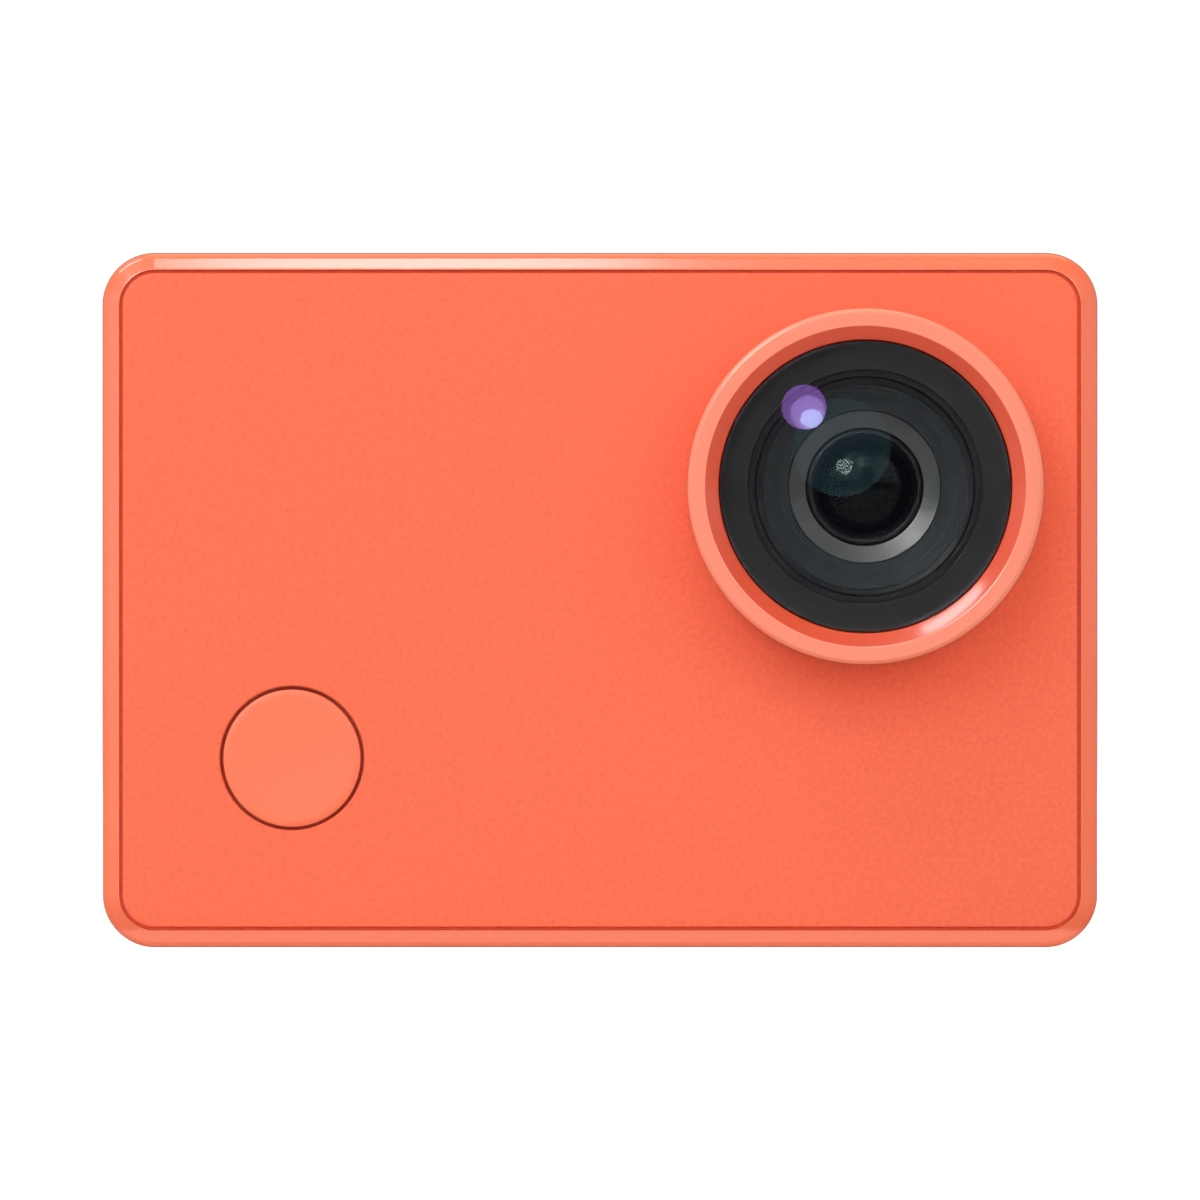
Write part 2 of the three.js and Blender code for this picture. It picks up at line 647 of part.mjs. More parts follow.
// A micro memory card: a notched tongue that goes in first, and a thicker lip at the outer end.
function memoryCard() {
  const outline = new THREE.Shape();
  outline.setFromPoints(
    [
      [0, 0],
      [15, 0],
      [15, 11],
      [7.6, 11],
      [7, 9.9],
      [6.2, 9.9],
      [5.6, 10.4],
      [5.3, 9.7],
      [0, 9.7],
    ].map(([x, z]) => new THREE.Vector2(x, z)),
  );
  return new THREE.ExtrudeGeometry(outline, { depth: CARD.y1 - CARD.y0, bevelEnabled: false })
    .rotateX(Math.PI / 2)
    .translate(CARD.x0, CARD.y1, CARD.z0);
}

function batteryContacts() {
  const { x0, y0, z1 } = BATTERY;
  const base = block(x0 + 2.2, x0 + 12.2, y0 + 2.8, y0 + 7, z1 + 0.75, BAY.z1 + 0.2);
  const blades = [0, 1, 2, 3].map((i) => {
    const x = x0 + 3.4 + i * 2.3;
    return block(x, x + 0.8, y0 + 3.6, y0 + 6.2, z1 + 0.12, z1 + 0.9);
  });
  return join(base, ...blades);
}

function addElectronics() {
  add("main_board", mainBoard(), "board");
  add("processor", block(-14, -2, BOARD_BACK + 0.05, BOARD_BACK + 0.9, 16, 28), "black");
  add("heat_spreader", plate(20, 18, 1, BOARD_BACK + 1, BOARD_BACK + 1.2, -8, 22, 1), "aluminium");
  add("wireless_module", block(6, 18, BOARD_BACK + 0.05, BOARD_BACK + 1.1, 8, 18), "steel");
  add("usb_port", socket(SOCKETS.usb), "steel");
  add("hdmi_port", socket(SOCKETS.hdmi), "steel");
  add("card_slot", cardSlot(), "steel");
  add("memory_card", memoryCard(), "black");
  const speakerFace = WIDTH / 2 - WALL - 0.2;
  add(
    "speaker",
    join(
      rod("x", SPEAKER.radius, speakerFace - 1.2, speakerFace, SPEAKER.y, SPEAKER.z, 28),
      rod("x", 4, speakerFace - 2.6, speakerFace - 1, SPEAKER.y, SPEAKER.z, 24),
    ),
    "black",
  );
  add("microphone", rod("z", 1.8, HEIGHT - WALL - 1.5, HEIGHT - WALL - 0.15, MICROPHONE_X, KEY_Y, 20), "steel");
  const lightFoot = HEIGHT - WALL;
  add(
    "status_light",
    join(
      rod("z", 0.6, lightFoot - 0.6, HEIGHT - 0.05, LIGHT_X, KEY_Y, 16),
      rod("z", 1.1, lightFoot - 0.8, lightFoot - 0.15, LIGHT_X, KEY_Y, 16),
    ),
    "glass",
  );
  add(
    "battery",
    plate(
      BATTERY.x1 - BATTERY.x0,
      BATTERY.z1 - BATTERY.z0,
      1.2,
      BATTERY.y0,
      BATTERY.y1,
      (BATTERY.x0 + BATTERY.x1) / 2,
      (BATTERY.z0 + BATTERY.z1) / 2,
      2,
    ),
    "wrap",
  );
  add("battery_contacts", batteryContacts(), "brass");
  BOSSES.forEach(([x, z], i) => add(`chassis_screw_${i + 1}`, screw(x, z, PLATE_BACK + 0.05, 5.2), "steel"));
  BOARD_FIXINGS.forEach(([x, z], i) => add(`board_screw_${i + 1}`, screw(x, z, BOARD_BACK + 0.05, 2.1), "steel"));
}

// ---------------------------------------------------------------- screen

function addScreen() {
  add("display_glass", plate(GLASS.width, GLASS.height, GLASS.corner, GLASS.front, BACK - 0.1), "glass");
  add(
    "display_panel",
    plate(SCREEN.width, SCREEN.height, 0.5, BOARD_BACK + 1.4, GLASS.front - GAP, 0, MIDDLE_Z, 1),
    "black",
  );
  add("display_flex", foldedRibbon(BOARD_BACK + 0.15, BOARD_BACK + 1.25, 12.6, 6, 9, -12), "flex");
}

// ---------------------------------------------------------------- underside

// The latch slides in a pocket in the door: a thumb pad outside, a neck, and a keeper plate inside.
const LATCH = { x0: DOOR.x1 - 8.4, x1: DOOR.x1 - 2.4, half: 2.6, travel: 1.6, neck: 1.3 };
const LATCH_MIDDLE = (DOOR.y0 + DOOR.y1) / 2;

function batteryDoor() {
  const bottom = DOOR.pinZ - DOOR.barrel;
  const plateSolid = block(DOOR.hinge, DOOR.x1, DOOR.y0, DOOR.y1, bottom, bottom + DOOR.thick);
  const barrel = rod("y", DOOR.barrel, DOOR.y0, DOOR.y1, DOOR.hinge, DOOR.pinZ, 24);
  const pocket = block(
    LATCH.x0 - LATCH.travel - 0.15,
    LATCH.x1 + 0.15,
    LATCH_MIDDLE - LATCH.half - 0.15,
    LATCH_MIDDLE + LATCH.half + 0.15,
    -1,
    bottom + 0.8,
  );
  const slot = block(
    LATCH.x0 + 1.2 - LATCH.travel,
    LATCH.x1 - 1.5,
    LATCH_MIDDLE - LATCH.neck - 0.15,
    LATCH_MIDDLE + LATCH.neck + 0.15,
    -1,
    3,
  );
  return cut(
    join(plateSolid, barrel),
    pocket,
    slot,
    rod("y", PIN.doorHole, DOOR.y0 - 1, DOOR.y1 + 1, DOOR.hinge, DOOR.pinZ, 16),
  );
}

function doorLatch() {
  const bottom = DOOR.pinZ - DOOR.barrel + 0.1;
  const grips = [0, 1, 2].map((i) => {
    const x = LATCH.x0 + 1.2 + i * 1.3;
    return block(x, x + 0.6, LATCH_MIDDLE - 2.7, LATCH_MIDDLE + 2.7, bottom - 0.2, bottom + 0.25);
  });
  return cut(
    join(
      block(LATCH.x0, LATCH.x1, LATCH_MIDDLE - LATCH.half, LATCH_MIDDLE + LATCH.half, bottom, bottom + 0.55),
      block(
        LATCH.x0 + 1.4,
        LATCH.x1 - 1.8,
        LATCH_MIDDLE - LATCH.neck,
        LATCH_MIDDLE + LATCH.neck,
        bottom + 0.4,
        bottom + 1.5,
      ),
      block(LATCH.x0 + 0.6, DOOR.x1 - 0.1, LATCH_MIDDLE - 2.2, LATCH_MIDDLE + 2.2, bottom + 1.35, bottom + 1.8),
    ),
    ...grips,
  );
}

// A blind threaded insert, closed at its top, with a flange that the case's floor holds.
function tripodInsert() {
  const { radius, bore, height } = INSERT;
  const profile = [
    [0, height - 0.8],
    [bore, height - 0.8],
    [bore, 0.37],
    [bore + 0.35, 0.02],
    [radius, 0.02],
    [radius, WALL + 0.2],
    [radius + 0.9, WALL + 0.2],
    [radius + 0.9, WALL + 1],
    [radius, WALL + 1],
    [radius, height],
    [0, height],
  ];
  return turned(profile, 32, 0, 0).rotateX(Math.PI / 2).translate(INSERT.x, INSERT.y, 0);
}

function addUnderside() {
  add("battery_door", batteryDoor(), "shell");
  const padFoot = DOOR.pinZ - DOOR.barrel + DOOR.thick + 0.05;
  add(
    "door_pad",
    block(DOOR.hinge + 4.2, DOOR.hinge + 19, DOOR.y0 + 3, DOOR.y1 - 3, padFoot, BATTERY.z0 - 0.15),
    "rubber",
  );
  add("door_pin", rod("y", PIN.radius, DOOR.y0 - 1.55, DOOR.y1 + 1.35, DOOR.hinge, DOOR.pinZ, 16), "steel");
  add("door_latch", doorLatch(), "black");
  add("tripod_insert", tripodInsert(), "brass");
}

addCase();
addLens();
addButtons();
addElectronics();
addScreen();
addUnderside();

export default object;
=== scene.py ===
"""The looks of a compact action camera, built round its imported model. Lengths inside the classes are millimetres."""

import json
import logging
import math
from dataclasses import dataclass, field
from enum import Enum
from typing import Any, Callable, Iterable, Sequence

import bmesh
import bpy
from mathutils import Matrix, Vector


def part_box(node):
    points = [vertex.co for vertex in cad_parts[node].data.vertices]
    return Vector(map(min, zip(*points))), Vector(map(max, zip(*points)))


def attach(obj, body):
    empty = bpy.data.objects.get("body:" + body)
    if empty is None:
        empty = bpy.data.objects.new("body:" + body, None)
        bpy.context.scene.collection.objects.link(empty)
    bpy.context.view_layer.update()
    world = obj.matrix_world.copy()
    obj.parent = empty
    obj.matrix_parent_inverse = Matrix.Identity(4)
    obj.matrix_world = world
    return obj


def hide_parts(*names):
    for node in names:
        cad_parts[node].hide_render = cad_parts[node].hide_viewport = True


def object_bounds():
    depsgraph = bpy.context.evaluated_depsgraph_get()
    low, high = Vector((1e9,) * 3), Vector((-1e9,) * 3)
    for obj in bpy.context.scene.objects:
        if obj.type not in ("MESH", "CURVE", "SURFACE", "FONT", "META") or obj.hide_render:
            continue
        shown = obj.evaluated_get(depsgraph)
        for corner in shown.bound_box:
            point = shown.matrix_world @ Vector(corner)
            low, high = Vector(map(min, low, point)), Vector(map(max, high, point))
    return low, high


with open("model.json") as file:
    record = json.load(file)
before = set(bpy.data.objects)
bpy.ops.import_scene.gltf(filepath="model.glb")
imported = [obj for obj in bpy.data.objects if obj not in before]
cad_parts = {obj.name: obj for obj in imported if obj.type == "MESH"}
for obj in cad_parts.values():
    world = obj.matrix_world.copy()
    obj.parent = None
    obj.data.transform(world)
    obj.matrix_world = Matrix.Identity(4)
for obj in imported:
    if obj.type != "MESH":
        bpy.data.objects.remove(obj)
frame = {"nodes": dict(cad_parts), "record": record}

LOG = logging.getLogger("action_camera")
MM = 0.001
CAD_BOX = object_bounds()

Colour = tuple[float, float, float]
Profile = Sequence[tuple[float, float]]
Piece = bpy.types.Object
Tree = bpy.types.NodeTree
Node = bpy.types.Node
Socket = bpy.types.NodeSocket


class Axis(Enum):
    """The direction a piece is turned or lofted along, with the two directions across it."""

    X = ((0, 1, 0), (0, 0, 1), (1, 0, 0))
    Y = ((1, 0, 0), (0, 0, 1), (0, 1, 0))
    Z = ((1, 0, 0), (0, 1, 0), (0, 0, 1))

    def place(self, u: float, v: float, along: float) -> Vector:
        """A point from its two coordinates across the axis and its coordinate along it."""
        across, up, forward = (Vector(direction) for direction in self.value)
        return across * u + up * v + forward * along


class Cut(Enum):
    """What a boolean does with its second solid."""

    AWAY = "DIFFERENCE"
    TOGETHER = "UNION"


@dataclass(frozen=True)
class Extent:
    """The box of a CAD node at rest."""

    low: Vector
    high: Vector

    @classmethod
    def of(cls, node: str) -> "Extent":
        """The box of a named node, in millimetres."""
        low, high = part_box(node)
        return cls(low / MM, high / MM)

    @property
    def middle(self) -> Vector:
        """The centre of the box."""
        return (self.low + self.high) / 2

    @property
    def size(self) -> Vector:
        """The width, depth and height of the box."""
        return self.high - self.low


# ---------------------------------------------------------------- mesh work


def mesh_piece(name: str, points: Iterable[Vector], faces: Iterable[Sequence[int]]) -> Piece:
    """Makes a closed mesh object with its faces outwards.

    Args:
        name: the object's name.
        points: the vertices, in millimetres.
        faces: the vertex numbers of each face.

    Returns:
        The new object, at the origin.
    """
    mesh = bpy.data.meshes.new(name)
    mesh.from_pydata([point * MM for point in points], [], [tuple(face) for face in faces])
    work = bmesh.new()
    work.from_mesh(mesh)
    bmesh.ops.remove_doubles(work, verts=work.verts, dist=1e-7)
    bmesh.ops.recalc_face_normals(work, faces=work.faces)
    work.to_mesh(mesh)
    work.free()
    return add_object(name, mesh)


def add_object(name: str, data: bpy.types.ID) -> Piece:
    """Puts a new object with its data in the scene.

    Args:
        name: the object's name.
        data: its data.

    Returns:
        The object, at the origin.
    """
    made = bpy.data.objects.new(name, data)
    bpy.context.scene.collection.objects.link(made)
    return made


def bake(piece: Piece) -> Piece:
    """Turns a piece's modifiers into plain mesh, and returns the piece.

    Args:
        piece: the piece.

    Returns:
        The piece.
    """
    bpy.context.view_layer.update()
    evaluated = piece.evaluated_get(bpy.context.evaluated_depsgraph_get())
    made = bpy.data.meshes.new_from_object(evaluated)
    piece.modifiers.clear()
    piece.data = made
    return piece


def soften(profile: Profile, radius: float, closed: bool = False, steps: int = 3) -> list[tuple[float, float]]:
    """Rounds the corners of a profile.

    Args:
        profile: the profile's points.
        radius: how far from each corner the rounding starts, at most.
        closed: whether the last point joins the first.
        steps: the number of segments in each rounding.

    Returns:
        The rounded profile.
    """
    count = len(profile)
    made: list[tuple[float, float]] = []
    for i, point in enumerate(profile):
        if not closed and i in (0, count - 1):
            made.append(point)
            continue
        here, before, after = Vector(point), Vector(profile[i - 1]), Vector(profile[(i + 1) % count])
        back, ahead = before - here, after - here
        start = here + back.normalized() * min(radius, back.length * 0.45)
        end = here + ahead.normalized() * min(radius, ahead.length * 0.45)
        for step in range(steps + 1):
            t = step / steps
            spot = start * (1 - t) ** 2 + here * 2 * t * (1 - t) + end * t * t
            made.append((spot.x, spot.y))
    return made


@dataclass(frozen=True)
class Outline:
    """A rounded rectangle. With a radius of half its width it is a pill or a disc."""

    width: float
    height: float
    radius: float
    steps: int = 10

    def points(self, grow: float) -> list[tuple[float, float]]:
        """The outline's points, moved outwards by an amount.

        Args:
            grow: the amount, in millimetres.

        Returns:
            The points, in order round the outline.
        """
        w, h = self.width / 2 + grow, self.height / 2 + grow
        r = max(min(self.radius + grow, w - 1e-4, h - 1e-4), 0.02)
        corners = ((w - r, h - r, 0), (r - w, h - r, 90), (r - w, r - h, 180), (w - r, r - h, 270))
        made = []
        for u, v, start in corners:
            for step in range(self.steps + 1):
                turn_by = math.radians(start + 90 * step / self.steps)
                made.append((u + r * math.cos(turn_by), v + r * math.sin(turn_by)))
        return made

    def loft(self, name: str, stations: Profile, u: float, v: float, axis: Axis = Axis.Y) -> Piece:
        """Stacks the outline along an axis into one closed solid.

        Args:
            name: the object's name.
            stations: (place along the axis, growth of the outline) pairs.
            u: the outline's middle, across the axis.
            v: the outline's middle, in the other direction across it.
            axis: the axis to stack along.

        Returns:
            The solid.
        """
        points: list[Vector] = []
        rings: list[list[int]] = []
        land = min(0.25, 0.1 * min(self.width, self.height))
        (first, first_grow), (last, last_grow) = stations[0], stations[-1]
        for along, grow in ((first, first_grow - land), *stations, (last, last_grow - land)):
            start = len(points)
            points += [axis.place(u + a, v + b, along) for a, b in self.points(grow)]
            rings.append(list(range(start, len(points))))
        faces: list[Sequence[int]] = [rings[0], rings[-1][::-1]]
        for lower, upper in zip(rings, rings[1:]):
            for i in range(len(lower)):
                j = (i + 1) % len(lower)
                faces.append((lower[i], lower[j], upper[j], upper[i]))
        return mesh_piece(name, points, faces)


def disc(radius: float, steps: int = 24) -> Outline:
    """A round outline."""
    return Outline(2 * radius, 2 * radius, radius, steps)


def turn(name: str, profile: Profile, u: float, v: float, axis: Axis = Axis.Y, segments: int = 128) -> Piece:
    """Turns a profile about a line along an axis.

    Args:
        name: the object's name.
        profile: (radius, place along the axis) pairs, which close on themselves or start and end on the axis.
        u: the line's place across the axis.
        v: the line's place in the other direction across it.
        axis: the axis.
        segments: the number of steps round.

    Returns:
        The turned solid.
    """
    points: list[Vector] = []
    rings: list[list[int]] = []
    for radius, along in profile:
        start = len(points)
        count = segments if radius > 1e-6 else 1
        for i in range(count):
            angle = 2 * math.pi * i / segments
            points.append(axis.place(u + radius * math.cos(angle), v + radius * math.sin(angle), along))
        rings.append(list(range(start, start + count)))
    pairs = list(zip(rings, rings[1:]))
    if profile[0][0] > 1e-6:
        pairs.append((rings[-1], rings[0]))
    faces = []
    for first, second in pairs:
        for i in range(segments):
            j = i + 1
            corners = (first[i % len(first)], first[j % len(first)], second[j % len(second)], second[i % len(second)])
            face = tuple(dict.fromkeys(corners))
            if len(face) > 2:
                faces.append(face)
    return mesh_piece(name, points, faces)


def slab(name: str, low: Sequence[float], high: Sequence[float], radius: float = 0.0) -> Piece:
    """A box between two corners, with its edges bevelled by a radius.

    Args:
        name: the object's name.
        low: one corner, in millimetres.
        high: the opposite corner.
        radius: the bevel of its edges; 0 leaves them sharp.

    Returns:
        The box.
    """
    low_point, high_point = Vector(low), Vector(high)
    piece = mesh_piece(name, [], [])
    work = bmesh.new()
    bmesh.ops.create_cube(work, size=1)
    size = high_point - low_point
    bmesh.ops.scale(work, vec=size * MM, verts=work.verts)
    bmesh.ops.translate(work, vec=(low_point + high_point) / 2 * MM, verts=work.verts)
    if radius:
        bmesh.ops.bevel(work, geom=work.edges, offset=radius * MM, segments=3, profile=0.5, affect="EDGES")
    work.to_mesh(piece.data)
    work.free()
    return piece


def discard(pieces: Iterable[Piece]) -> None:
    """Removes working pieces."""
    for piece in list(pieces):
        bpy.data.objects.remove(piece)


def shape(piece: Piece, tools: Sequence[Piece], cut: Cut) -> Piece:
    """Cuts the tools from a piece, or joins them to it, and removes them.

    Args:
        piece: the piece to change.
        tools: the solids to use.
        cut: whether they are taken away or added.

    Returns:
        The piece, as plain mesh.
    """
    for tool in tools:
        modifier = piece.modifiers.new(tool.name, "BOOLEAN")
        modifier.operation = cut.value
        modifier.solver = "EXACT"
        modifier.object = tool
    bake(piece)
    discard(tools)
    return piece


def smooth(piece: Piece, angle: float = 34.0) -> Piece:
    """Shades a piece smooth with its flat faces kept flat and its edges sharper than an angle kept sharp.

    Args:
        piece: the piece.
        angle: the angle, in degrees.

    Returns:
        The piece.
    """
    piece.data.shade_smooth()
    piece.data.set_sharp_from_angle(angle=math.radians(angle))
    modifier = piece.modifiers.new("flat faces", "WEIGHTED_NORMAL")
    modifier.keep_sharp = True
    modifier.weight = 100
    return bake(piece)


# ---------------------------------------------------------------- shared surface effects


def wire(tree: Tree, kind: str, links: dict[Any, Any], **settings: Any) -> Node:
    """Adds a node to a tree.

    Args:
        tree: the tree.
        kind: the node's type.
        links: input name or number to the socket or value that it gets.
        settings: the node's own settings.

    Returns:
        The node.
    """
    node = tree.nodes.new(kind)
    for label, value in settings.items():
        setattr(node, label, value)
    for label, value in links.items():
        if isinstance(value, Socket):
            tree.links.new(value, node.inputs[label])
        else:
            node.inputs[label].default_value = value
    return node


def remap(tree: Tree, value: Socket, low: Any, high: Any, to_low: Any = 0.0, to_high: Any = 1.0) -> Socket:
    """Stretches a value from one span to another, held at its ends.

    Args:
        tree: the tree to add the node to.
        value: the value.
        low: the start of its span.
        high: the end of its span.
        to_low: what the start becomes.
        to_high: what the end becomes.

    Returns:
        The new value.
    """
    links = {"Value": value, "From Min": low, "From Max": high, "To Min": to_low, "To Max": to_high}
    return wire(tree, "ShaderNodeMapRange", links).outputs["Result"]


def calc(tree: Tree, operation: str, *values: Any) -> Socket:
    """The result of a sum on sockets or plain numbers."""
    return wire(tree, "ShaderNodeMath", dict(enumerate(values)), operation=operation).outputs[0]


def set_inputs(node: Node, values: dict[str, Any]) -> None:
    """Sets a node's inputs by name."""
    for label, value in values.items():
        node.inputs[label].default_value = value


class Group:
    """A node group that is built node by node."""

    tree: Tree
    entry: Node
    exit: Node

    def __getitem__(self, label: str) -> Socket:
        """The socket of a named input."""
        return self.entry.outputs[label]

    def add(self, kind: str, links: dict[Any, Any], **settings: Any) -> Node:
        """Adds a node to the group and links or sets its inputs."""
        return wire(self.tree, kind, links, **settings)

    def out(self, kind: str, links: dict[Any, Any], **settings: Any) -> Socket:
        """Adds a node and gives its first output."""
        return self.add(kind, links, **settings).outputs[0]


class Effect(Group):
    """A shader node group that several finishes share."""

    def __init__(self, name: str, inputs: dict[str, Any], outputs: Sequence[str]) -> None:
        """Makes an empty group with named sockets.

        Args:
            name: the group's name.
            inputs: each input's name and first value.
            outputs: the names of the outputs.
        """
        self.tree = bpy.data.node_groups.new(name, "ShaderNodeTree")
        for label, value in inputs.items():
            kind = "NodeSocketFloat" if isinstance(value, float) else "NodeSocketVector"
            socket = self.tree.interface.new_socket(label, in_out="INPUT", socket_type=kind)
            socket.default_value = value
        for label in outputs:
            self.tree.interface.new_socket(label, in_out="OUTPUT", socket_type="NodeSocketFloat")
        self.entry = self.tree.nodes.new("NodeGroupInput")
        self.exit = self.tree.nodes.new("NodeGroupOutput")

    def give(self, label: str, socket: Socket) -> None:
        """Links a socket to a named output."""
        self.tree.links.new(socket, self.exit.inputs[label])


def grain_effect() -> Tree:
    """Fine moulded grain: a height and a tone that vary over the surface.

    Returns:
        The group's tree.
    """
    effect = Effect("moulded grain", {"Grain": 6000.0, "Mottle": 3000.0}, ("Height", "Tone"))
    place = effect.add("ShaderNodeTexCoord", {}).outputs["Object"]
    fine = effect.add(
        "ShaderNodeTexNoise", {"Vector": place, "Scale": effect["Grain"], "Detail": 3.0, "Roughness": 0.6}
    ).outputs["Fac"]
    broad = effect.add(
        "ShaderNodeTexNoise", {"Vector": place, "Scale": effect["Mottle"], "Detail": 3.0}
    ).outputs["Fac"]
    effect.give("Height", fine)
    effect.give("Tone", remap(effect.tree, broad, 0.3, 0.7))
    return effect.tree


def handling_effect() -> Tree:
    """Faint marks of handling: a value from 0, clean, to 1, smudged.

    Returns:
        The group's tree.
    """
    effect = Effect("handling marks", {"Spread": 90.0}, ("Marks",))
    place = effect.add("ShaderNodeTexCoord", {}).outputs["Object"]
    noise = effect.add(
        "ShaderNodeTexNoise", {"Vector": place, "Scale": effect["Spread"], "Detail": 5.0, "Distortion": 0.6}
    )
    effect.give("Marks", remap(effect.tree, noise.outputs["Fac"], 0.35, 0.7))
    return effect.tree


def edge_effect() -> Tree:
    """Wear on convex edges: a mask that is 1 on a sharp edge.

    Returns:
        The group's tree.
    """
    effect = Effect("edge wear", {"Reach": 0.52}, ("Mask",))
    point = effect.add("ShaderNodeNewGeometry", {}).outputs["Pointiness"]
    effect.give("Mask", remap(effect.tree, point, effect["Reach"], 0.62))
    return effect.tree


def rings_effect() -> Tree:
    """Turning marks: grooves in circles round an axis, as a height.

    Returns:
        The group's tree.
    """
    effect = Effect(
        "turning marks", {"Centre": (0.0, 0.0, 0.0), "Across": (1.0, 0.0, 1.0), "Pitch": 0.0002, "Unevenness": 0.5},
        ("Height",)
    )
    place = effect.add("ShaderNodeTexCoord", {}).outputs["Object"]
    shifted = effect.out("ShaderNodeVectorMath", {0: place, 1: effect["Centre"]}, operation="SUBTRACT")
    flat = effect.out("ShaderNodeVectorMath", {0: shifted, 1: effect["Across"]}, operation="MULTIPLY")
    distance = effect.add("ShaderNodeVectorMath", {0: flat}, operation="LENGTH").outputs["Value"]
    count = calc(effect.tree, "DIVIDE", distance, effect["Pitch"])
    wave = calc(effect.tree, "SINE", calc(effect.tree, "MULTIPLY", count, 2 * math.pi))
    uneven = effect.add("ShaderNodeTexNoise", {"W": count, "Scale": 0.37, "Detail": 4.0}, noise_dimensions="1D")
    mixed = effect.add(
        "ShaderNodeMix", {0: effect["Unevenness"], 2: wave, 3: uneven.outputs["Fac"]}, data_type="FLOAT"
    )
    effect.give("Height", mixed.outputs[0])
    return effect.tree


EFFECTS: dict[str, Tree] = {
    "grain": grain_effect(), "handling": handling_effect(), "edge": edge_effect(), "rings": rings_effect()
}


# ---------------------------------------------------------------- finishes


@dataclass(frozen=True)
class Rings:
    """Turning marks round a line."""

    centre: tuple[float, float, float]
    across: tuple[float, float, float]
    pitch: float
    depth: float
    unevenness: float = 0.6


@dataclass(frozen=True)
class Finish:
    """A surface finish, with its own share of each effect. Lengths are millimetres."""

    name: str
    colour: Colour
    roughness: float
    metallic: float = 0.0
    specular: float = 0.5
    coat: float = 0.0
    coat_roughness: float = 0.1
    grain_size: float = 0.16
    grain_depth: float = 0.004
    mottle: float = 0.06
    marks: float = 0.08
    wear: float = 0.0
    rings: Rings | None = None
    transmission: float = 0.0
    ior: float = 1.5
    tint: Colour = (1.0, 1.0, 1.0)

    def material(self) -> bpy.types.Material:
        """The finish's material, made at its first use."""
        known = bpy.data.materials.get(self.name + "_finish")
        return known if known else self.make()

    def make(self) -> bpy.types.Material:
        """Builds the material's node tree.

        Returns:
            The material.
        """
        material = bpy.data.materials.new(self.name + "_finish")
        material.use_nodes = True
        tree = material.node_tree
        surface = tree.nodes["Principled BSDF"]
        plain = {
            "Metallic": self.metallic, "Specular IOR Level": self.specular, "Specular Tint": (*self.tint, 1.0),
            "Coat Weight": self.coat, "Coat Roughness": self.coat_roughness, "Transmission Weight": self.transmission,
            "IOR": self.ior, "Base Color": (*self.colour, 1.0), "Roughness": self.roughness
        }
        set_inputs(surface, plain)
        self.tone(tree, surface)
        self.handle(tree, surface)
        self.relief(tree, surface)
        return material

    def grain(self, tree: Tree) -> Node:
        """Places the moulded grain at this finish's scale."""
        scales = {"Grain": 1000 / self.grain_size, "Mottle": 900 / self.grain_size}
        return self.effect(tree, "grain", scales)

    def tone(self, tree: Tree, surface: Node) -> None:
        """Varies the colour with the mottle, the finish's own pattern and the wear, where it has them.

        Args:
            tree: the material's tree.
            surface: its shader.
        """
        if not self.mottle:
            return
        dark = tuple(c * (1 - self.mottle) for c in self.colour)
        light = tuple(min(c * (1 + self.mottle), 1.0) for c in self.colour)
        between = {0: self.grain(tree).outputs["Tone"], 6: (*dark, 1.0), 7: (*light, 1.0)}
        toned = wire(tree, "ShaderNodeMix", between, data_type="RGBA").outputs[2]
        toned = self.pattern(tree, toned)
        if self.wear:
            edge = self.effect(tree, "edge", {})
            amount = calc(tree, "MULTIPLY", edge.outputs["Mask"], self.wear)
            worn = tuple(c + (1 - c) * 0.5 for c in self.colour)
            rubbed = {0: amount, 6: toned, 7: (*worn, 1.0)}
            toned = wire(tree, "ShaderNodeMix", rubbed, data_type="RGBA").outputs[2]
        tree.links.new(toned, surface.inputs["Base Color"])

    def handle(self, tree: Tree, surface: Node) -> None:
        """Dulls the surface a little where it is handled, if it shows marks.

        Args:
            tree: the material's tree.
            surface: its shader.
        """
        if not self.marks:
            return
        marks = self.effect(tree, "handling", {}).outputs["Marks"]
        dulled = remap(tree, marks, 0.0, 1.0, self.roughness, self.roughness + self.marks)
        tree.links.new(dulled, surface.inputs["Roughness"])

    def relief(self, tree: Tree, surface: Node) -> None:
        """Raises the grain and the turning marks, where the finish has them.

        Args:
            tree: the material's tree.
            surface: its shader.
        """
        heights: list[tuple[Socket, float]] = []
        if self.grain_depth:
            heights.append((self.grain(tree).outputs["Height"], self.grain_depth))
        if self.rings:
            values = {
                "Centre": tuple(c * MM for c in self.rings.centre), "Across": self.rings.across,
                "Pitch": self.rings.pitch * MM, "Unevenness": self.rings.unevenness
            }
            heights.append((self.effect(tree, "rings", values).outputs["Height"], self.rings.depth))
        normal: Socket | None = None
        for height, depth in heights:
            links = {"Height": height, "Distance": depth * MM}
            if normal:
                links["Normal"] = normal
            normal = wire(tree, "ShaderNodeBump", links).outputs["Normal"]
        if normal:
            tree.links.new(normal, surface.inputs["Normal"])

    def pattern(self, tree: Tree, colour: Socket) -> Socket:
        """A finish with a pattern of its own changes its colour here; a plain one keeps it."""
        return colour

    @staticmethod
    def effect(tree: Tree, name: str, values: dict[str, Any]) -> Node:
        """Places a shared effect in a material with the material's own values.

        Args:
            tree: the material's tree.
            name: the effect's name.
            values: the effect's inputs by name.

        Returns:
            The effect's node.
        """
        node = tree.nodes.new("ShaderNodeGroup")
        node.node_tree = EFFECTS[name]
        set_inputs(node, values)
        return node


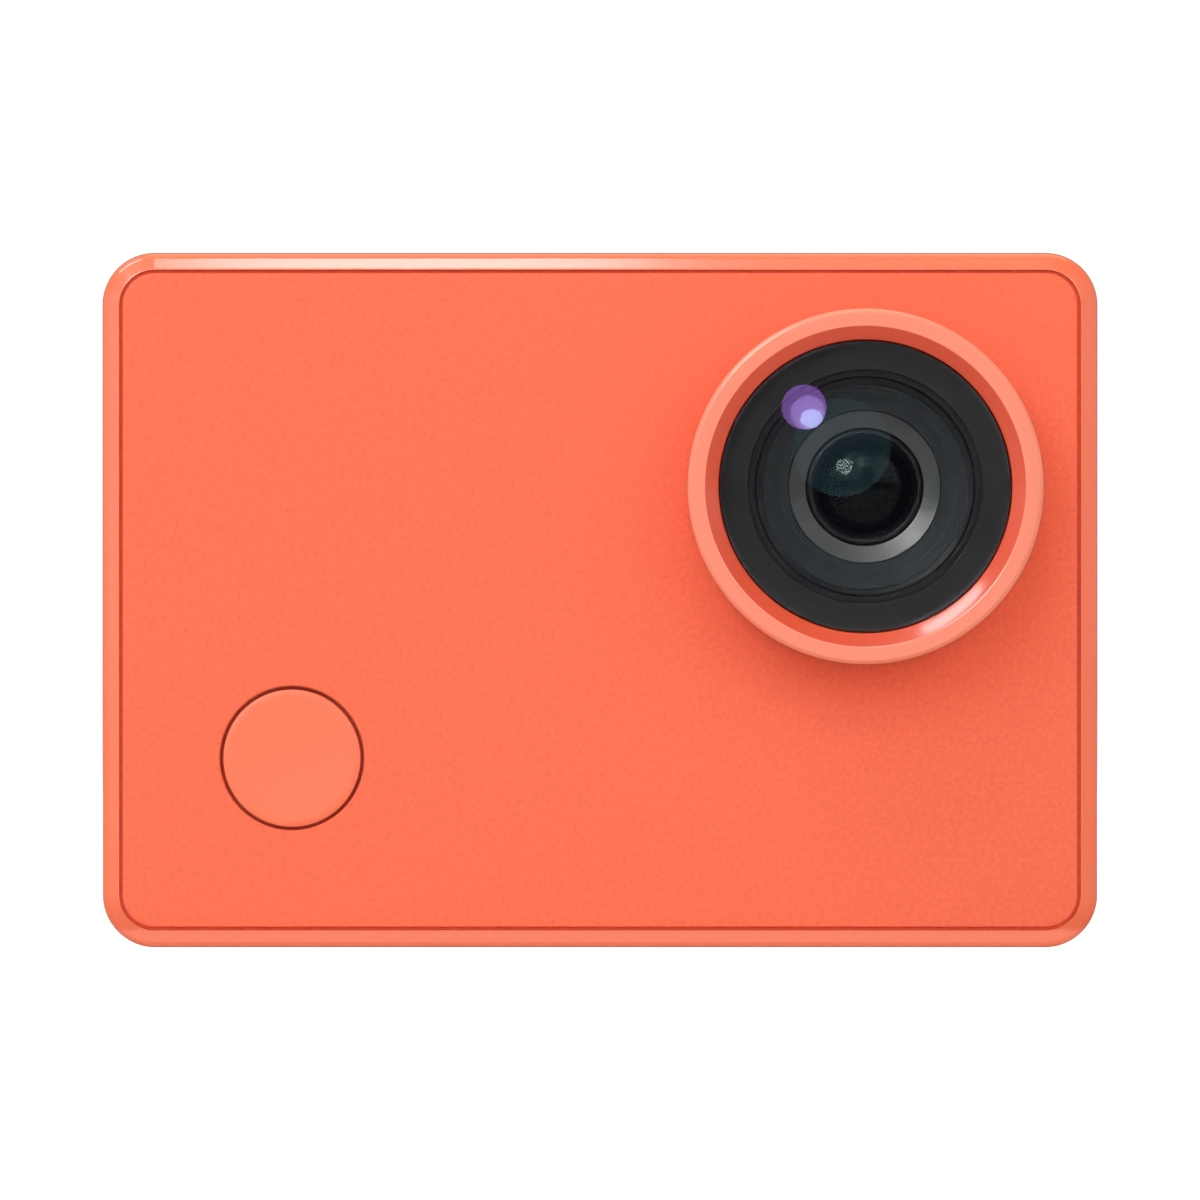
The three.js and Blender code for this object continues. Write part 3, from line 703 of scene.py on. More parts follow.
@dataclass(frozen=True)
class BoardFinish(Finish):
    """Solder mask with copper tracks that show through it."""

    track: Colour = (0.02, 0.16, 0.07)
    pitch: float = 1.1

    def pattern(self, tree: Tree, colour: Socket) -> Socket:
        """Mixes the tracks into the mask's colour.

        Args:
            tree: the material's tree.
            colour: the mask's colour.

        Returns:
            The mixed colour.
        """
        place = wire(tree, "ShaderNodeTexCoord", {}).outputs["Object"]
        cells = wire(
            tree, "ShaderNodeTexVoronoi", {"Vector": place, "Scale": 1000 / self.pitch}, distance="MANHATTAN"
        )
        edge = remap(tree, cells.outputs["Distance"], 0.5, 0.62)
        return wire(tree, "ShaderNodeMix", {0: edge, 6: colour, 7: (*self.track, 1.0)}, data_type="RGBA").outputs[2]


LENS = Extent.of("lens_ring").middle
TRIPOD = Extent.of("tripod_insert").middle
LENS_RINGS = Rings((LENS.x, 0, LENS.z), (1, 0, 1), 0.11, 0.006)
INSERT_RINGS = Rings((TRIPOD.x, TRIPOD.y, 0), (1, 1, 0), 0.12, 0.004)


class Finishes:
    """Every finish of the camera, by the record's slot names."""

    case_shell = Finish(
        "case_shell", (0.95, 0.158, 0.056), 0.36, coat=1.0, coat_roughness=0.08, grain_depth=0.0003, mottle=0.02,
        marks=0.04
    )
    front_skin = Finish(
        "front_skin", (0.95, 0.154, 0.069), 0.62, specular=0.3, grain_size=0.24, grain_depth=0.006, mottle=0.075,
        marks=0.02,
    )
    button_cap = Finish(
        "button_cap", (0.97, 0.190, 0.083), 0.42, specular=0.4, grain_size=0.12, grain_depth=0.0006, mottle=0.02
    )
    # Painted reflection: the rim, its rounding, the outer wall and the neck get this lighter copy of the ring's
    # orange, lightened to stand in for the sheen the flat rim reflects.
    ring_rim = Finish(
        "ring_rim", (0.98, 0.258, 0.148), 0.3, coat=0.6, coat_roughness=0.1, grain_depth=0.0003, mottle=0.02
    )
    # Painted shade: the cone and seat inside the ring are a darkened copy of the ring's orange, standing in for the
    # shade that falls inside the ring.
    ring_coat = Finish(
        "ring_coat", (0.74, 0.062, 0.010), 0.34, coat=1.0, coat_roughness=0.15, grain_depth=0.0003, mottle=0.02
    )
    window_glass = Finish(
        "window_glass", (1.0, 1.0, 1.0), 0.0, specular=0.32, transmission=1.0, ior=1.4, mottle=0.0, marks=0.0,
        grain_depth=0.0, tint=(0.75, 0.7, 1.0),
    )
    # Painted shade: the elements' glass is tinted nearly black, so that it stands in for the dark inside of the lens;
    # real lens glass is clear.
    lens_glass = Finish(
        "lens_glass", (0.05, 0.075, 0.08), 0.08, specular=0.2, transmission=1.0, ior=1.22, mottle=0.0, marks=0.0,
        grain_depth=0.0, tint=(0.8, 1.0, 0.95),
    )
    filter_glass = Finish(
        "filter_glass", (0.35, 0.75, 0.72), 0.0, transmission=1.0, ior=1.5, mottle=0.0, marks=0.0,
        grain_depth=0.0, tint=(1.0, 0.5, 0.5),
    )
    screen_glass = Finish(
        "screen_glass", (0.5, 0.52, 0.55), 0.0, specular=0.28, transmission=1.0, ior=1.5, mottle=0.0, marks=0.0,
        grain_depth=0.0,
    )
    screen_border = Finish("screen_border", (0.004, 0.004, 0.005), 0.35, grain_depth=0.0)
    screen_panel = Finish(
        "screen_panel", (0.012, 0.014, 0.02), 0.12, specular=0.6, grain_size=0.09, grain_depth=0.0, mottle=0.25
    )
    mask_black = Finish("mask_black", (0.029, 0.029, 0.0295), 0.75, specular=0.25, grain_size=0.05, grain_depth=0.001)
    barrel_black = Finish(
        "barrel_black", (0.038, 0.048, 0.056), 0.42, specular=0.5, grain_size=0.05, grain_depth=0.0006,
        rings=LENS_RINGS,
    )
    step_black = Finish(
        "step_black", (0.036, 0.040, 0.045), 0.42, specular=0.6, coat=0.5, coat_roughness=0.3, grain_size=0.05,
        grain_depth=0.0004
    )
    # The aperture's own black; the barrel's undercut and deep faces also take it as painted shade.
    stop_black = Finish(
        "stop_black", (0.0045, 0.005, 0.0065), 0.38, specular=0.4, grain_size=0.05, grain_depth=0.0004
    )
    inner_black = Finish("inner_black", (0.014, 0.0145, 0.016), 0.5, grain_size=0.14, grain_depth=0.003, wear=0.15)
    sensor_face = Finish(
        "sensor_face", (0.012, 0.016, 0.03), 0.08, coat=0.6, grain_size=0.06, grain_depth=0.0, mottle=0.3
    )
    seal_rubber = Finish(
        "seal_rubber", (0.012, 0.012, 0.0125), 0.85, specular=0.25, grain_size=0.1, grain_depth=0.006
    )
    board_green = BoardFinish("board_green", (0.007, 0.07, 0.03), 0.4, coat=0.3, grain_size=0.3, grain_depth=0.001)
    flex_amber = Finish("flex_amber", (0.43, 0.14, 0.016), 0.3, coat=0.2, grain_size=0.4, grain_depth=0.001)
    chip_black = Finish("chip_black", (0.011, 0.011, 0.012), 0.55, grain_size=0.07, grain_depth=0.003)
    plain_steel = Finish(
        "plain_steel", (0.43, 0.45, 0.48), 0.3, metallic=1.0, grain_size=0.1, grain_depth=0.0015, wear=0.25
    )
    shield_steel = Finish(
        "shield_steel", (0.55, 0.56, 0.58), 0.28, metallic=1.0, grain_size=0.2, grain_depth=0.001, wear=0.2
    )
    spreader_aluminium = Finish(
        "spreader_aluminium", (0.58, 0.59, 0.61), 0.36, metallic=1.0, grain_size=0.2, grain_depth=0.002
    )
    battery_wrap = Finish("battery_wrap", (0.018, 0.022, 0.03), 0.32, coat=0.25, grain_size=0.5, grain_depth=0.002)
    contact_gold = Finish("contact_gold", (0.66, 0.43, 0.11), 0.22, metallic=1.0, grain_size=0.1, grain_depth=0.0008)
    insert_brass = Finish(
        "insert_brass", (0.57, 0.39, 0.15), 0.26, metallic=1.0, grain_size=0.1, grain_depth=0.0008, rings=INSERT_RINGS
    )
    card_black = Finish("card_black", (0.009, 0.009, 0.010), 0.4, grain_size=0.1, grain_depth=0.002)
    light_guide = Finish("light_guide", (0.65, 0.70, 0.74), 0.2, coat=0.3, grain_depth=0.0)


class Body(Enum):
    """The bodies that pieces ride on."""

    CASE = "case"
    POWER = "power"
    SHUTTER = "shutter"
    UP = "up"
    DOWN = "down"
    CARD = "card"
    DOOR = "door"
    LATCH = "latch"


def fit(
    piece: Piece, finish: Finish, body: Body, replaced: Sequence[str] = (),
    angle: float = 34.0
) -> Piece:
    """Shades and dresses a piece, and puts it on its body.

    Args:
        piece: the piece.
        finish: its finish.
        body: the body it rides on.
        replaced: the CAD nodes that it stands for.
        angle: the edge angle past which an edge stays sharp, in degrees.

    Returns:
        The piece.
    """
    smooth(piece, angle)
    piece.data.materials.clear()
    piece.data.materials.append(finish.material())
    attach(piece, body.value)
    if replaced:
        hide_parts(*replaced)
    LOG.info("%s: %s on %s, %d faces", piece.name, finish.name, body.value, len(piece.data.polygons))
    return piece


# ---------------------------------------------------------------- repeated shapes


class Recipe(Group):
    """A Geometry Nodes tree with named inputs that makes one plain mesh each time it is used."""

    def __init__(self, name: str, inputs: dict[str, str]) -> None:
        """Makes an empty tree.

        Args:
            name: the tree's name.
            inputs: each input's name and socket type, without the NodeSocket prefix.
        """
        self.tree = bpy.data.node_groups.new(name, "GeometryNodeTree")
        self.keys: dict[str, str] = {}
        for label, kind in {**inputs, "Finish": "Material"}.items():
            socket = self.tree.interface.new_socket(label, in_out="INPUT", socket_type="NodeSocket" + kind)
            self.keys[label] = socket.identifier
        self.tree.interface.new_socket("Geometry", in_out="OUTPUT", socket_type="NodeSocketGeometry")
        self.entry = self.tree.nodes.new("NodeGroupInput")
        self.exit = self.tree.nodes.new("NodeGroupOutput")

    def close(self, geometry: Socket) -> None:
        """Realizes the geometry, gives it its finish and sends it to the output.

        Args:
            geometry: the geometry.
        """
        real = self.add("GeometryNodeRealizeInstances", {0: geometry})
        dressed = self.add("GeometryNodeSetMaterial", {"Geometry": real.outputs[0], "Material": self["Finish"]})
        self.tree.links.new(dressed.outputs[0], self.exit.inputs[0])

    def make(self, name: str, finish: Finish, values: dict[str, Any], places: Sequence[Vector] = ()) -> Piece:
        """Runs the tree once.

        Args:
            name: the new piece's name.
            finish: its finish.
            values: the tree's inputs by name.
            places: points of the base mesh that the tree works on, in millimetres.

        Returns:
            The piece, as plain mesh.
        """
        piece = mesh_piece(name, places, [])
        modifier = piece.modifiers.new(name, "NODES")
        modifier.node_group = self.tree
        for label, value in {**values, "Finish": finish.material()}.items():
            modifier[self.keys[label]] = value
        return bake(piece)


def ring_recipe() -> Recipe:
    """Concentric ribs on a cone: their radius and depth go evenly from the outer rib's to the inner's.

    Returns:
        The recipe.
    """
    recipe = Recipe(
        "concentric ribs",
        {
            "Count": "Int", "Outer Radius": "Float", "Inner Radius": "Float", "Outer Depth": "Float",
            "Inner Depth": "Float", "Rib": "Float",
        },
    )
    points = recipe.out("GeometryNodePoints", {"Count": recipe["Count"]})
    index = recipe.out("GeometryNodeInputIndex", {})
    last = calc(recipe.tree, "SUBTRACT", recipe["Count"], 1.0)
    share = calc(recipe.tree, "DIVIDE", index, last)
    radius = remap(recipe.tree, share, 0.0, 1.0, recipe["Outer Radius"], recipe["Inner Radius"])
    depth = remap(recipe.tree, share, 0.0, 1.0, recipe["Outer Depth"], recipe["Inner Depth"])
    spot = recipe.out("ShaderNodeCombineXYZ", {"Y": depth})
    placed = recipe.out("GeometryNodeSetPosition", {"Geometry": points, "Position": spot})
    circle = recipe.out("GeometryNodeCurvePrimitiveCircle", {"Resolution": 128, "Radius": 1.0})
    size = recipe.out("ShaderNodeCombineXYZ", {"X": radius, "Y": radius, "Z": radius})
    copies = recipe.out(
        "GeometryNodeInstanceOnPoints",
        {"Points": placed, "Instance": circle, "Rotation": (math.pi / 2, 0.0, 0.0), "Scale": size},
    )
    curves = recipe.out("GeometryNodeRealizeInstances", {0: copies})
    section = recipe.out("GeometryNodeCurvePrimitiveCircle", {"Resolution": 6, "Radius": recipe["Rib"]})
    recipe.close(recipe.out("GeometryNodeCurveToMesh", {"Curve": curves, "Profile Curve": section}))
    return recipe


def thread_recipe() -> Recipe:
    """One helical thread ridge along Z.

    Returns:
        The recipe.
    """
    recipe = Recipe(
        "screw thread", {"Turns": "Float", "Radius": "Float", "Height": "Float", "Ridge": "Float", "Steps": "Int"}
    )
    spiral = recipe.out(
        "GeometryNodeCurveSpiral",
        {
            "Resolution": recipe["Steps"], "Rotations": recipe["Turns"], "Start Radius": recipe["Radius"],
            "End Radius": recipe["Radius"], "Height": recipe["Height"],
        },
    )
    section = recipe.out("GeometryNodeCurvePrimitiveCircle", {"Resolution": 3, "Radius": recipe["Ridge"]})
    recipe.close(
        recipe.out("GeometryNodeCurveToMesh", {"Curve": spiral, "Profile Curve": section, "Fill Caps": True})
    )
    return recipe


def row_recipe() -> Recipe:
    """Copies of a shape in a row of even steps.

    Returns:
        The recipe.
    """
    recipe = Recipe("row of copies", {"Count": "Int", "Start": "Vector", "Step": "Vector", "Shape": "Object"})
    line = recipe.out(
        "GeometryNodeMeshLine",
        {"Count": recipe["Count"], "Start Location": recipe["Start"], "Offset": recipe["Step"]}
    )
    copied = recipe.add("GeometryNodeObjectInfo", {"Object": recipe["Shape"]}).outputs["Geometry"]
    recipe.close(recipe.out("GeometryNodeInstanceOnPoints", {"Points": line, "Instance": copied}))
    return recipe


def places_recipe() -> Recipe:
    """Copies of a shape at the points of the base mesh.

    Returns:
        The recipe.
    """
    recipe = Recipe("copies at places", {"Places": "Geometry", "Shape": "Object"})
    copied = recipe.add("GeometryNodeObjectInfo", {"Object": recipe["Shape"]}).outputs["Geometry"]
    recipe.close(recipe.out("GeometryNodeInstanceOnPoints", {"Points": recipe["Places"], "Instance": copied}))
    return recipe


def grille_recipe() -> Recipe:
    """Round bars in a ring with one in the middle, along X, for a grille's holes.

    Returns:
        The recipe.
    """
    recipe = Recipe("grille holes", {"Count": "Int", "Ring": "Float", "Hole": "Float", "Length": "Float"})
    ring = recipe.out("GeometryNodeMeshCircle", {"Vertices": recipe["Count"], "Radius": recipe["Ring"]})
    middle = recipe.out("GeometryNodePoints", {"Count": 1})
    spots = recipe.add("GeometryNodeJoinGeometry", {}).inputs[0]
    joined = spots.node
    recipe.tree.links.new(recipe.out("GeometryNodeMeshToPoints", {"Mesh": ring}), spots)
    recipe.tree.links.new(middle, spots)
    bar = recipe.out(
        "GeometryNodeMeshCylinder", {"Vertices": 24, "Radius": recipe["Hole"], "Depth": recipe["Length"]}
    )
    bars = recipe.out("GeometryNodeInstanceOnPoints", {"Points": joined.outputs[0], "Instance": bar})
    turned = recipe.out("GeometryNodeTransform", {"Geometry": bars, "Rotation": (0.0, math.pi / 2, 0.0)})
    recipe.close(turned)
    return recipe


def scatter_recipe() -> Recipe:
    """Small rectangular parts scattered over a board on a grid, with some places left empty.

    Returns:
        The recipe.
    """
    recipe = Recipe(
        "board parts",
        {"Width": "Float", "Height": "Float", "Across": "Int", "Up": "Int", "Part": "Vector", "Seed": "Int"},
    )
    grid = recipe.out(
        "GeometryNodeMeshGrid",
        {
            "Size X": recipe["Width"], "Size Y": recipe["Height"], "Vertices X": recipe["Across"],
            "Vertices Y": recipe["Up"],
        },
    )
    chance = recipe.add("FunctionNodeRandomValue", {"Probability": 0.42, "Seed": recipe["Seed"]}, data_type="BOOLEAN")
    keep = next(socket for socket in chance.outputs if socket.enabled)
    size = recipe.out(
        "FunctionNodeRandomValue", {0: (0.6, 0.6, 0.7), 1: (1.5, 1.1, 1.0), "Seed": recipe["Seed"]},
        data_type="FLOAT_VECTOR"
    )
    cube = recipe.out("GeometryNodeMeshCube", {"Size": recipe["Part"]})
    copies = recipe.out(
        "GeometryNodeInstanceOnPoints", {"Points": grid, "Selection": keep, "Instance": cube, "Scale": size}
    )
    recipe.close(recipe.out("GeometryNodeTransform", {"Geometry": copies, "Rotation": (math.pi / 2, 0.0, 0.0)}))
    return recipe


RING_RIBS = ring_recipe()
THREAD = thread_recipe()
ROW = row_recipe()
AT_PLACES = places_recipe()
GRILLE = grille_recipe()
BOARD_PARTS = scatter_recipe()


def move(piece: Piece, by: Vector) -> Piece:
    """Moves a piece's mesh by a distance in millimetres, and returns the piece."""
    piece.data.transform(Matrix.Translation(by * MM))
    return piece


def row_of(
    pattern: Piece, name: str, finish: Finish, count: int, start: Sequence[float], step: Sequence[float]
) -> Piece:
    """Copies a shape in a row and removes the shape.

    Args:
        pattern: the shape.
        name: the row's name.
        finish: its finish.
        count: how many copies.
        start: where the first one stands, in millimetres.
        step: the way from one to the next, in millimetres.

    Returns:
        The row, as one mesh.
    """
    values = {"Count": count, "Start": Vector(start) * MM, "Step": Vector(step) * MM, "Shape": pattern}
    row = ROW.make(name, finish, values)
    discard([pattern])
    return row


# ---------------------------------------------------------------- case


@dataclass
class CaseShell:
    """The case: its frame with the bevelled rims, the grained front panel and the rear cover."""

    rim: float = 1.02
    chamfer: float = 0.97
    chamfer_depth: float = 0.375
    edge: float = 0.30
    edge_depth: float = 0.62
    corner: float = 3.1
    wall: float = 1.4
    seam: float = 0.19
    steps: int = 24
    lip: float = 0.12
    neck_hole: float = 9.95
    grille_holes: int = 6
    grille_ring: float = 2.2
    grille_hole: float = 0.55
    groove_depth: float = 0.42
    body: Extent = field(default_factory=lambda: Extent.of("housing_frame"))
    cover: Extent = field(default_factory=lambda: Extent.of("rear_cover"))
    panel: Extent = field(default_factory=lambda: Extent.of("front_panel"))

    @property
    def outline(self) -> Outline:
        """The case's outline, seen from the front."""
        return Outline(self.body.size.x, self.body.size.z, self.corner, self.steps)

    def bevel(self, at: float, inwards: float) -> list[tuple[float, float]]:
        """The stations of a bevel between a face at a depth and the sides: a flat, a narrow steeper one and a turn.

        Args:
            at: the depth of the face.
            inwards: 1 where the solid lies behind the face, -1 where it lies in front.

        Returns:
            Stations from the face to the sides.
        """
        facets = [
            (0.0, -self.rim), (0.0, -self.chamfer), (self.chamfer_depth, -self.edge), (self.edge_depth, -0.035),
            (1.1, 0.0)
        ]
        return [(at + inwards * depth, grow) for depth, grow in soften(facets, 0.07)]

    def hole(
        self, axis: Axis, outline: Outline, u: float, v: float, face: float, inwards: float, deep: float
    ) -> Piece:
        """A cutter with a softened mouth.

        Args:
            axis: the axis of the hole.
            outline: the hole's outline.
            u: the hole's middle, across the axis.
            v: the hole's middle, in the other direction.
            face: where the outer face is, along the axis.
            inwards: the direction into the case, 1 or -1.
            deep: how far the cutter reaches in.

        Returns:
            The cutter.
        """
        lip = self.lip
        stations = [
            (face - inwards * 0.5, lip + 0.1), (face - inwards * 0.02, lip + 0.02),
            (face + inwards * 0.03, lip * 0.45), (face + inwards * lip, 0.0), (face + inwards * deep, 0.0)
        ]
        return outline.loft("hole", stations, u, v, axis)

    def build(self) -> None:
        """Builds and dresses the case's pieces."""
        self.build_frame()
        self.build_panel()
        self.build_cover()

    def build_frame(self) -> None:
        """The frame, with its sockets, keys, grille, door and insert openings."""
        middle = self.body.middle
        front, back = self.body.low.y, self.body.high.y
        stations = [*self.bevel(front, 1.0), (back - 0.12, 0.0), (back, -0.08)]
        piece = self.outline.loft("frame_skin", stations, middle.x, middle.z)
        panel_back = self.panel.high.y + 0.05
        cutters = [
            self.outline.loft(
                "recess", [(front - 1, -self.rim + 0.05), (front + 0.02, -self.rim), (panel_back, -self.rim)], 0,
                middle.z
            ),
            self.outline.loft(
                "ledge", [(panel_back - 0.2, -2 * self.wall), (panel_back + 1, -2 * self.wall)], 0, middle.z
            ),
            self.outline.loft("inside", [(panel_back + 0.85, -self.wall), (back + 1, -self.wall)], 0, middle.z)
        ]
        cutters += self.openings()
        shape(piece, cutters, Cut.AWAY)
        shape(piece, self.lugs(), Cut.TOGETHER)
        fit(piece, Finishes.case_shell, Body.CASE, ["housing_frame"])

    def openings(self) -> list[Piece]:
        """The cutters of the frame's openings.

        Returns:
            The cutters.
        """
        seam = self.seam
        top, right, left = self.body.high.z, self.body.high.x, self.body.low.x
        shutter = Extent.of("shutter_button")
        cap = shutter.size.x / 2 - 0.7
        made = [
            self.hole(Axis.Z, disc(cap + seam), shutter.middle.x, shutter.middle.y, top, -1, 2),
            self.hole(Axis.Z, disc(0.4, 8), *Extent.of("microphone").middle.xy, top, -1, 2),
            self.hole(Axis.Z, disc(0.68, 10), *Extent.of("status_light").middle.xy, top, -1, 2),
        ]
        for key in ("up_key", "down_key"):
            spot = Extent.of(key)
            width, length = spot.size.y - 1.2, spot.size.z - 1.2
            outline = Outline(width + 2 * seam, length + 2 * seam, width / 2 + seam, 12)
            made.append(self.hole(Axis.X, outline, spot.middle.y, spot.middle.z, left, 1, 2))
        for port in ("usb_port", "hdmi_port"):
            spot = Extent.of(port)
            outline = Outline(spot.size.y + 0.3, spot.size.z + 0.3, 0.3, 6)
            made.append(self.hole(Axis.X, outline, spot.middle.y, spot.middle.z, right, -1, 2))
        card = Extent.of("memory_card")
        made.append(
            self.hole(Axis.X, Outline(1.7, card.size.z + 1.2, 0.4, 6), card.middle.y, card.middle.z, right, -1, 2)
        )
        speaker = Extent.of("speaker").middle
        grille = GRILLE.make(
            "grille", Finishes.case_shell,
            {
                "Count": self.grille_holes, "Ring": self.grille_ring * MM, "Hole": self.grille_hole * MM,
                "Length": 5 * MM
            }
        )
        made.append(move(grille, Vector((right, speaker.y, speaker.z))))
        made.append(
            self.hole(Axis.Z, disc(Extent.of("tripod_insert").size.x / 2 - 0.85, 32), TRIPOD.x, TRIPOD.y, 0.0, 1, 2)
        )
        door = Extent.of("battery_door")
        made.append(
            slab(
                "door_way", (door.low.x - 0.2, door.low.y - 0.15, -1), (door.high.x + 0.15, door.high.y + 0.15, 2.95)
            )
        )
        return made

    def lugs(self) -> list[Piece]:
        """The two ears that hold the door's pin.

        Returns:
            The ears.
        """
        pin, door = Extent.of("door_pin"), Extent.of("battery_door")
        x = pin.middle.x
        spans = ((pin.low.y - 0.3, door.low.y - 0.16), (door.high.y + 0.16, pin.high.y + 0.3))
        return [slab("lug", (x - 2.1, low, 1.0), (x + 1.7, high, 2.9), 0.2) for low, high in spans]

    def build_panel(self) -> None:
        """The grained panel, with holes for the lens ring and the power button."""
        inset = -self.rim - self.seam
        front, back = self.panel.low.y, self.panel.high.y
        shelf = inset + self.seam - 0.02
        stations = [
            (front, inset - 0.08), (front + 0.025, inset - 0.022), (front + 0.08, inset),
            (front + self.groove_depth, inset), (front + self.groove_depth + 0.02, shelf), (back, shelf)
        ]
        piece = self.outline.loft("front_skin", stations, 0, self.body.middle.z)
        power = Extent.of("power_button")
        cap = power.size.x / 2 - 0.7
        cutters = [
            self.hole(Axis.Y, disc(cap + self.seam, 32), power.middle.x, power.middle.z, front, 1, 3),
            disc(self.neck_hole, 40).loft("lens hole", [(front - 1, 0), (back + 1, 0)], LENS.x, LENS.z),
        ]
        shape(piece, cutters, Cut.AWAY)
        fit(piece, Finishes.front_skin, Body.CASE, ["front_panel"])

    def build_cover(self) -> None:
        """The rear cover, with its bevelled rim and the screen's opening."""
        back = self.cover.high.y
        edge = self.body.high.y + 0.1
        glass = Extent.of("display_glass")
        outline = Outline(glass.size.x + 0.3, glass.size.z + 0.3, 1.75, 14)
        stations = [(edge, -0.08), (edge + 0.12, 0.0), *reversed(self.bevel(back, -1.0))]
        piece = self.outline.loft("rear_cover_skin", stations, 0, self.cover.middle.z)
        panel = Extent.of("display_panel")
        cutters = [
            self.hole(Axis.Y, outline, glass.middle.x, glass.middle.z, back, -1, back - glass.low.y + 0.1),
            slab(
                "screen way", (panel.low.x - 0.3, edge - 1, panel.low.z - 0.3),
                (panel.high.x + 0.3, back, panel.high.z + 0.3)
            )
        ]
        shape(piece, cutters, Cut.AWAY)
        fit(piece, Finishes.case_shell, Body.CASE, ["rear_cover"])


# ---------------------------------------------------------------- lens


@dataclass
class LensUnit:
    """The lens: its ring, window, mask and the ribbed barrel with its glass."""

    rim_outer: float = 10.54
    rim_inner: float = 9.52
    throat: float = 8.7
    neck: float = 9.8
    seat_bore: float = 7.2
    mask_bore: float = 6.93
    ribs: int = 13
    rib: float = 0.045
    rib_radii: tuple[float, float] = (6.02, 4.66)
    rib_depths: tuple[float, float] = (4.16, 5.39)
    edge: float = 0.07
    tip: float = field(default_factory=lambda: Extent.of("lens_ring").low.y)
    foot: float = field(default_factory=lambda: Extent.of("lens_ring").high.y)
    window: Extent = field(default_factory=lambda: Extent.of("lens_window"))
    mask: Extent = field(default_factory=lambda: Extent.of("window_mask"))
    barrel: Extent = field(default_factory=lambda: Extent.of("lens_barrel"))
    ring_seat: float = field(default_factory=lambda: Extent.of("housing_frame").low.y)

    def spin(self, name: str, profile: Profile, edge: float = 0.0, segments: int = 160) -> Piece:
        """Turns a profile about the lens's axis, with its corners softened by an edge radius."""
        closed = profile[0][0] > 1e-6
        return turn(name, soften(profile, edge, closed) if edge else profile, LENS.x, LENS.z, segments=segments)

    @staticmethod
    def second_finish(piece: Piece, finish: Finish, chosen: Callable[[float, float], bool]) -> None:
        """Gives some faces of a turned piece a second finish, lighter or darker than the first, which paints highlight
        or shade on them.

        Args:
            piece: the piece.
            finish: the second finish, lighter or darker than the piece's own, as painted highlight or painted shade.
            chosen: says whether a face gets it, from its radius and its place along the axis, in millimetres.
        """
        piece.data.materials.append(finish.material())
        for face in piece.data.polygons:
            centre = face.center / MM
            radius = math.hypot(centre.x - LENS.x, centre.z - LENS.z)
            face.material_index = int(chosen(radius, centre.y))

    def build(self) -> None:
        """Builds and dresses the lens's pieces."""
        self.build_ring()
        self.build_window()
        self.build_barrel()
        self.build_glass()

    def build_ring(self) -> None:
        """The raised ring: a flat rim, a cone inside it, and the neck through the front panel."""
        tip, foot = self.tip, self.foot
        seat = self.window.high.y + 0.7
        profile = [
            (self.rim_inner, tip), (self.rim_outer - 0.2, tip), (self.rim_outer, tip + 0.2),
            (self.rim_outer, self.ring_seat - 0.1), (self.neck, self.ring_seat - 0.1), (self.neck, foot),
            (self.seat_bore, foot), (self.seat_bore, seat), (self.throat, seat), (self.throat, tip + 0.68)
        ]
        piece = self.spin("lens_ring_skin", profile, self.edge)
        # Painted shade: the ring as a whole takes the darkened orange, which stays on the cone and seat inside it.
        fit(piece, Finishes.ring_coat, Body.CASE, ["lens_ring"], angle=26)
        # Painted reflection: faces outside the cone get a lightened copy of the ring's orange that stands in for the
        # sheen on the flat rim.
        self.second_finish(piece, Finishes.ring_rim, lambda radius, _: radius > self.rim_inner - 0.03)

    def build_window(self) -> None:
        """The flat window with softened edges, and the black mask behind it."""
        radius = self.window.size.x / 2
        front, back = self.window.low.y, self.window.high.y
        land = radius - 0.3
        pane = [(0, front), (land, front), (radius, front), (radius, back), (land, back), (0, back)]
        fit(self.spin("lens_window_pane", pane, 0.1), Finishes.window_glass, Body.CASE, ["lens_window"], angle=26)
        front, back = self.mask.low.y, self.mask.high.y
        outer = self.mask.size.x / 2
        bore = self.mask_bore
        ring = [(bore, front + 0.05), (bore + 0.05, front), (outer, front), (outer, back), (bore, back)]
        fit(self.spin("window_mask_ring", ring), Finishes.mask_black, Body.CASE, ["window_mask"])

    def build_barrel(self) -> None:
        """The barrel's stepped black cone, its fine ribs and the bright step round the front element."""
        tip, front = self.tip, self.barrel.low.y
        profile = [
            (6.55, front), (6.95, front), (6.95, tip + 9.65), (5.9, tip + 9.65), (5.9, self.barrel.high.y),
            (3.3, self.barrel.high.y), (3.3, tip + 9.3), (2.6, tip + 9.3), (2.6, tip + 8.65), (3.5, tip + 8.65),
            (3.5, tip + 6.35), (4.55, tip + 6.1), (4.55, tip + 5.5), (5.35, tip + 4.7), (6.1, tip + 4.1),
            (6.1, tip + 3.75), (6.45, tip + 3.6)
        ]
        piece = self.spin("lens_barrel_body", profile, 0.05)
        fit(piece, Finishes.barrel_black, Body.CASE, ["lens_barrel"], angle=26)
        # Painted shade: the undercut step, the bore and the deepest faces of the barrel take the darker stop black,
        # standing in for the shade in these recesses.
        self.second_finish(
            piece, Finishes.stop_black, lambda radius, at: radius > 6.12 or radius < 4.5 or at > tip + 8.6
        )
        ribs = RING_RIBS.make(
            "baffle_ribs", Finishes.barrel_black,
            {
                "Count": self.ribs, "Outer Radius": self.rib_radii[0] * MM, "Inner Radius": self.rib_radii[1] * MM,
                "Outer Depth": (tip + self.rib_depths[0]) * MM, "Inner Depth": (tip + self.rib_depths[1]) * MM,
                "Rib": self.rib * MM
            }
        )
        fit(move(ribs, Vector((LENS.x, 0, LENS.z))), Finishes.barrel_black, Body.CASE)
        step = [(3.52, tip + 5.92), (4.5, tip + 5.64), (4.53, tip + 5.68), (4.53, tip + 6.05), (3.52, tip + 6.32)]
        fit(self.spin("bright_step", step), Finishes.step_black, Body.CASE, angle=26)

